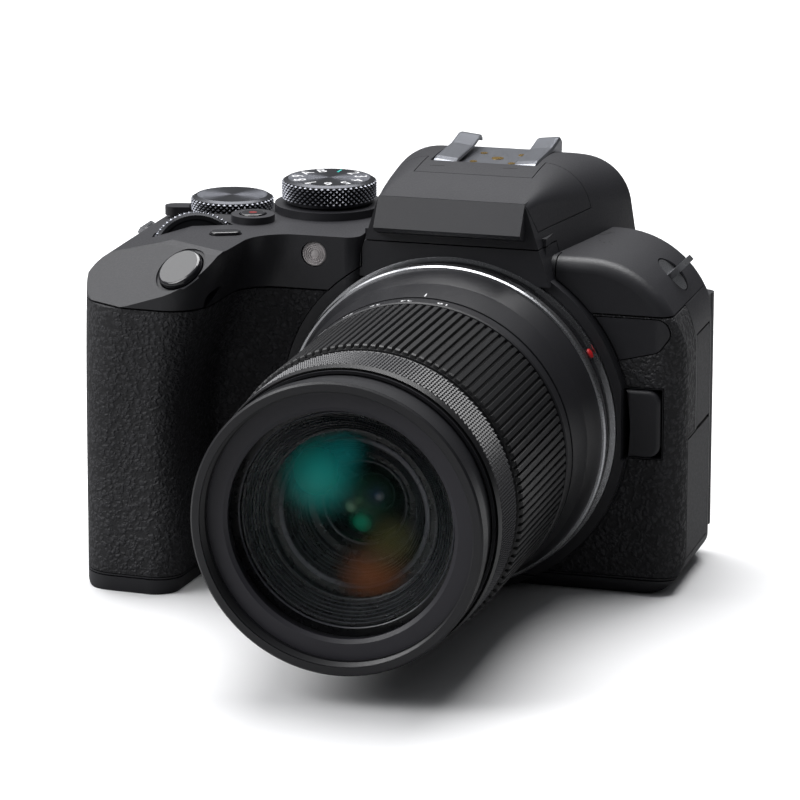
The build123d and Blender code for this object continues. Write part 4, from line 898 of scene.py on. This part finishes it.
class CAMERA_OT_stage(bpy.types.Operator):
    """Pale floor, soft lights and the view"""
    bl_idname = "camera_looks.stage"
    bl_label = "Stage"

    def execute(self, context):
        s = looks()
        scene, size = context.scene, FLOOR_HALF
        mesh = bpy.data.meshes.new("studio_floor")
        mesh.from_pydata([(-size, -size, 0), (size, -size, 0), (size, size, 0), (-size, size, 0)], [],
                [(0, 1, 2, 3)])
        floor = bpy.data.objects.new("studio_floor", mesh)
        scene.collection.objects.link(floor)
        paper, tree, where = blank_material("floor_paper")
        fibre = add_node(tree, "ShaderNodeTexNoise", {"Scale": 1000 / 4.0, "Detail": 3.0},
                         {"Vector": where})
        pale = add_node(tree, "ShaderNodeMix", {"data_type": "RGBA",
                6: tint(c * 0.985 for c in s.floor_colour), 7: tint(s.floor_colour)},
                {0: fibre.outputs["Fac"]})
        # the sheet sends back less light than it shows, so the undersides stay dark
        sheet = add_node(tree, "ShaderNodeMix", {"data_type": "RGBA",
                6: tint(c * 0.3 for c in s.floor_colour)},
                {0: add_node(tree, "ShaderNodeLightPath").outputs["Is Camera Ray"], 7: pale.outputs[2]})
        finish_material(tree, add_node(tree, "ShaderNodeBsdfPrincipled", {"Roughness": 0.8},
                                       {"Base Color": sheet.outputs[2]}))
        mesh.materials.append(paper)
        world = bpy.data.worlds.new("studio_air")
        scene.world = world
        world.use_nodes = True
        tree = world.node_tree
        tree.nodes.clear()
        seen = add_node(tree, "ShaderNodeLightPath")
        side = add_node(tree, "ShaderNodeSeparateXYZ",
                links={0: add_node(tree, "ShaderNodeTexCoord").outputs["Generated"]})
        rise = add_node(tree, "ShaderNodeMapRange",
                {"From Min": -0.05, "From Max": 0.9, "To Min": 0.04, "To Max": 0.50},
                {"Value": side.outputs["Z"]})
        sweep = add_node(tree, "ShaderNodeMapRange",
                {"From Min": -0.8, "From Max": 0.8, "To Min": 1.5, "To Max": 0.15},
                {"Value": side.outputs["X"]})
        power = add_node(tree, "ShaderNodeMath", {"operation": "MULTIPLY"},
                {0: rise.outputs[0], 1: sweep.outputs[0]})
        lit = add_node(tree, "ShaderNodeBackground", {"Color": linear("#eceef2")},
                {"Strength": power.outputs[0]})
        shown = add_node(tree, "ShaderNodeBackground", {"Color": linear("#f6f6f7"), "Strength": 1.0})
        both = add_node(tree, "ShaderNodeMixShader", {}, {0: seen.outputs["Is Camera Ray"], 1: lit.outputs[0],
                                                          2: shown.outputs[0]})
        add_node(tree, "ShaderNodeOutputWorld", links={"Surface": both.outputs[0]})
        aim = Vector(LIGHT_AIM) * MM
        for name, place, wide, tall, power in SOFTBOXES:
            light = bpy.data.lights.new(name, "AREA")
            light.shape, light.size, light.size_y, light.energy = "RECTANGLE", wide, tall, power
            lamp = bpy.data.objects.new(name, light)
            lamp.location = Vector(place) * MM
            lamp.rotation_euler = (aim - lamp.location).to_track_quat("-Z", "Y").to_euler()
            scene.collection.objects.link(lamp)
        lens = bpy.data.cameras.new("view")
        lens.sensor_width, lens.lens = 36.0, VIEW_LENS
        lens.clip_start, lens.clip_end = 0.05, 30.0
        view = bpy.data.objects.new("view", lens)
        view.location = Vector(VIEW_PLACE) * MM
        view.rotation_euler = Vector(VIEW_ALONG).to_track_quat("-Z", "Y").to_euler()
        scene.collection.objects.link(view)
        scene.camera = view
        scene.view_settings.view_transform = "Standard"
        return {"FINISHED"}


# ------------------------------------------------------------------------------------- panel and start
OPERATORS = (CAMERA_OT_covers, CAMERA_OT_skins, CAMERA_OT_barrel, CAMERA_OT_zoom_ring, CAMERA_OT_control_ring,
             CAMERA_OT_glass, CAMERA_OT_dials, CAMERA_OT_buttons, CAMERA_OT_fittings, CAMERA_OT_screen,
             CAMERA_OT_internals, CAMERA_OT_stage)


class CAMERA_PT_looks(bpy.types.Panel):
    """Lists the pieces of the camera's looks"""
    bl_idname = "CAMERA_PT_looks"
    bl_label = "Camera Looks"
    bl_space_type = "VIEW_3D"
    bl_region_type = "UI"
    bl_category = "Camera Looks"

    def draw(self, context):
        for operator in OPERATORS:
            self.layout.operator(operator.bl_idname)
        for name in CameraLooks.__annotations__:
            self.layout.prop(context.scene.camera_looks, name)


CLASSES = (CameraLooks, *OPERATORS, CAMERA_PT_looks)


def register():
    for item in CLASSES:
        bpy.utils.register_class(item)
    bpy.types.Scene.camera_looks = PointerProperty(type=CameraLooks)


def unregister():
    del bpy.types.Scene.camera_looks
    for item in reversed(CLASSES):
        bpy.utils.unregister_class(item)


def main():
    register()
    for operator in OPERATORS:
        group, call = operator.bl_idname.split(".")
        getattr(getattr(bpy.ops, group), call)()


if __name__ == "__main__":
    main()
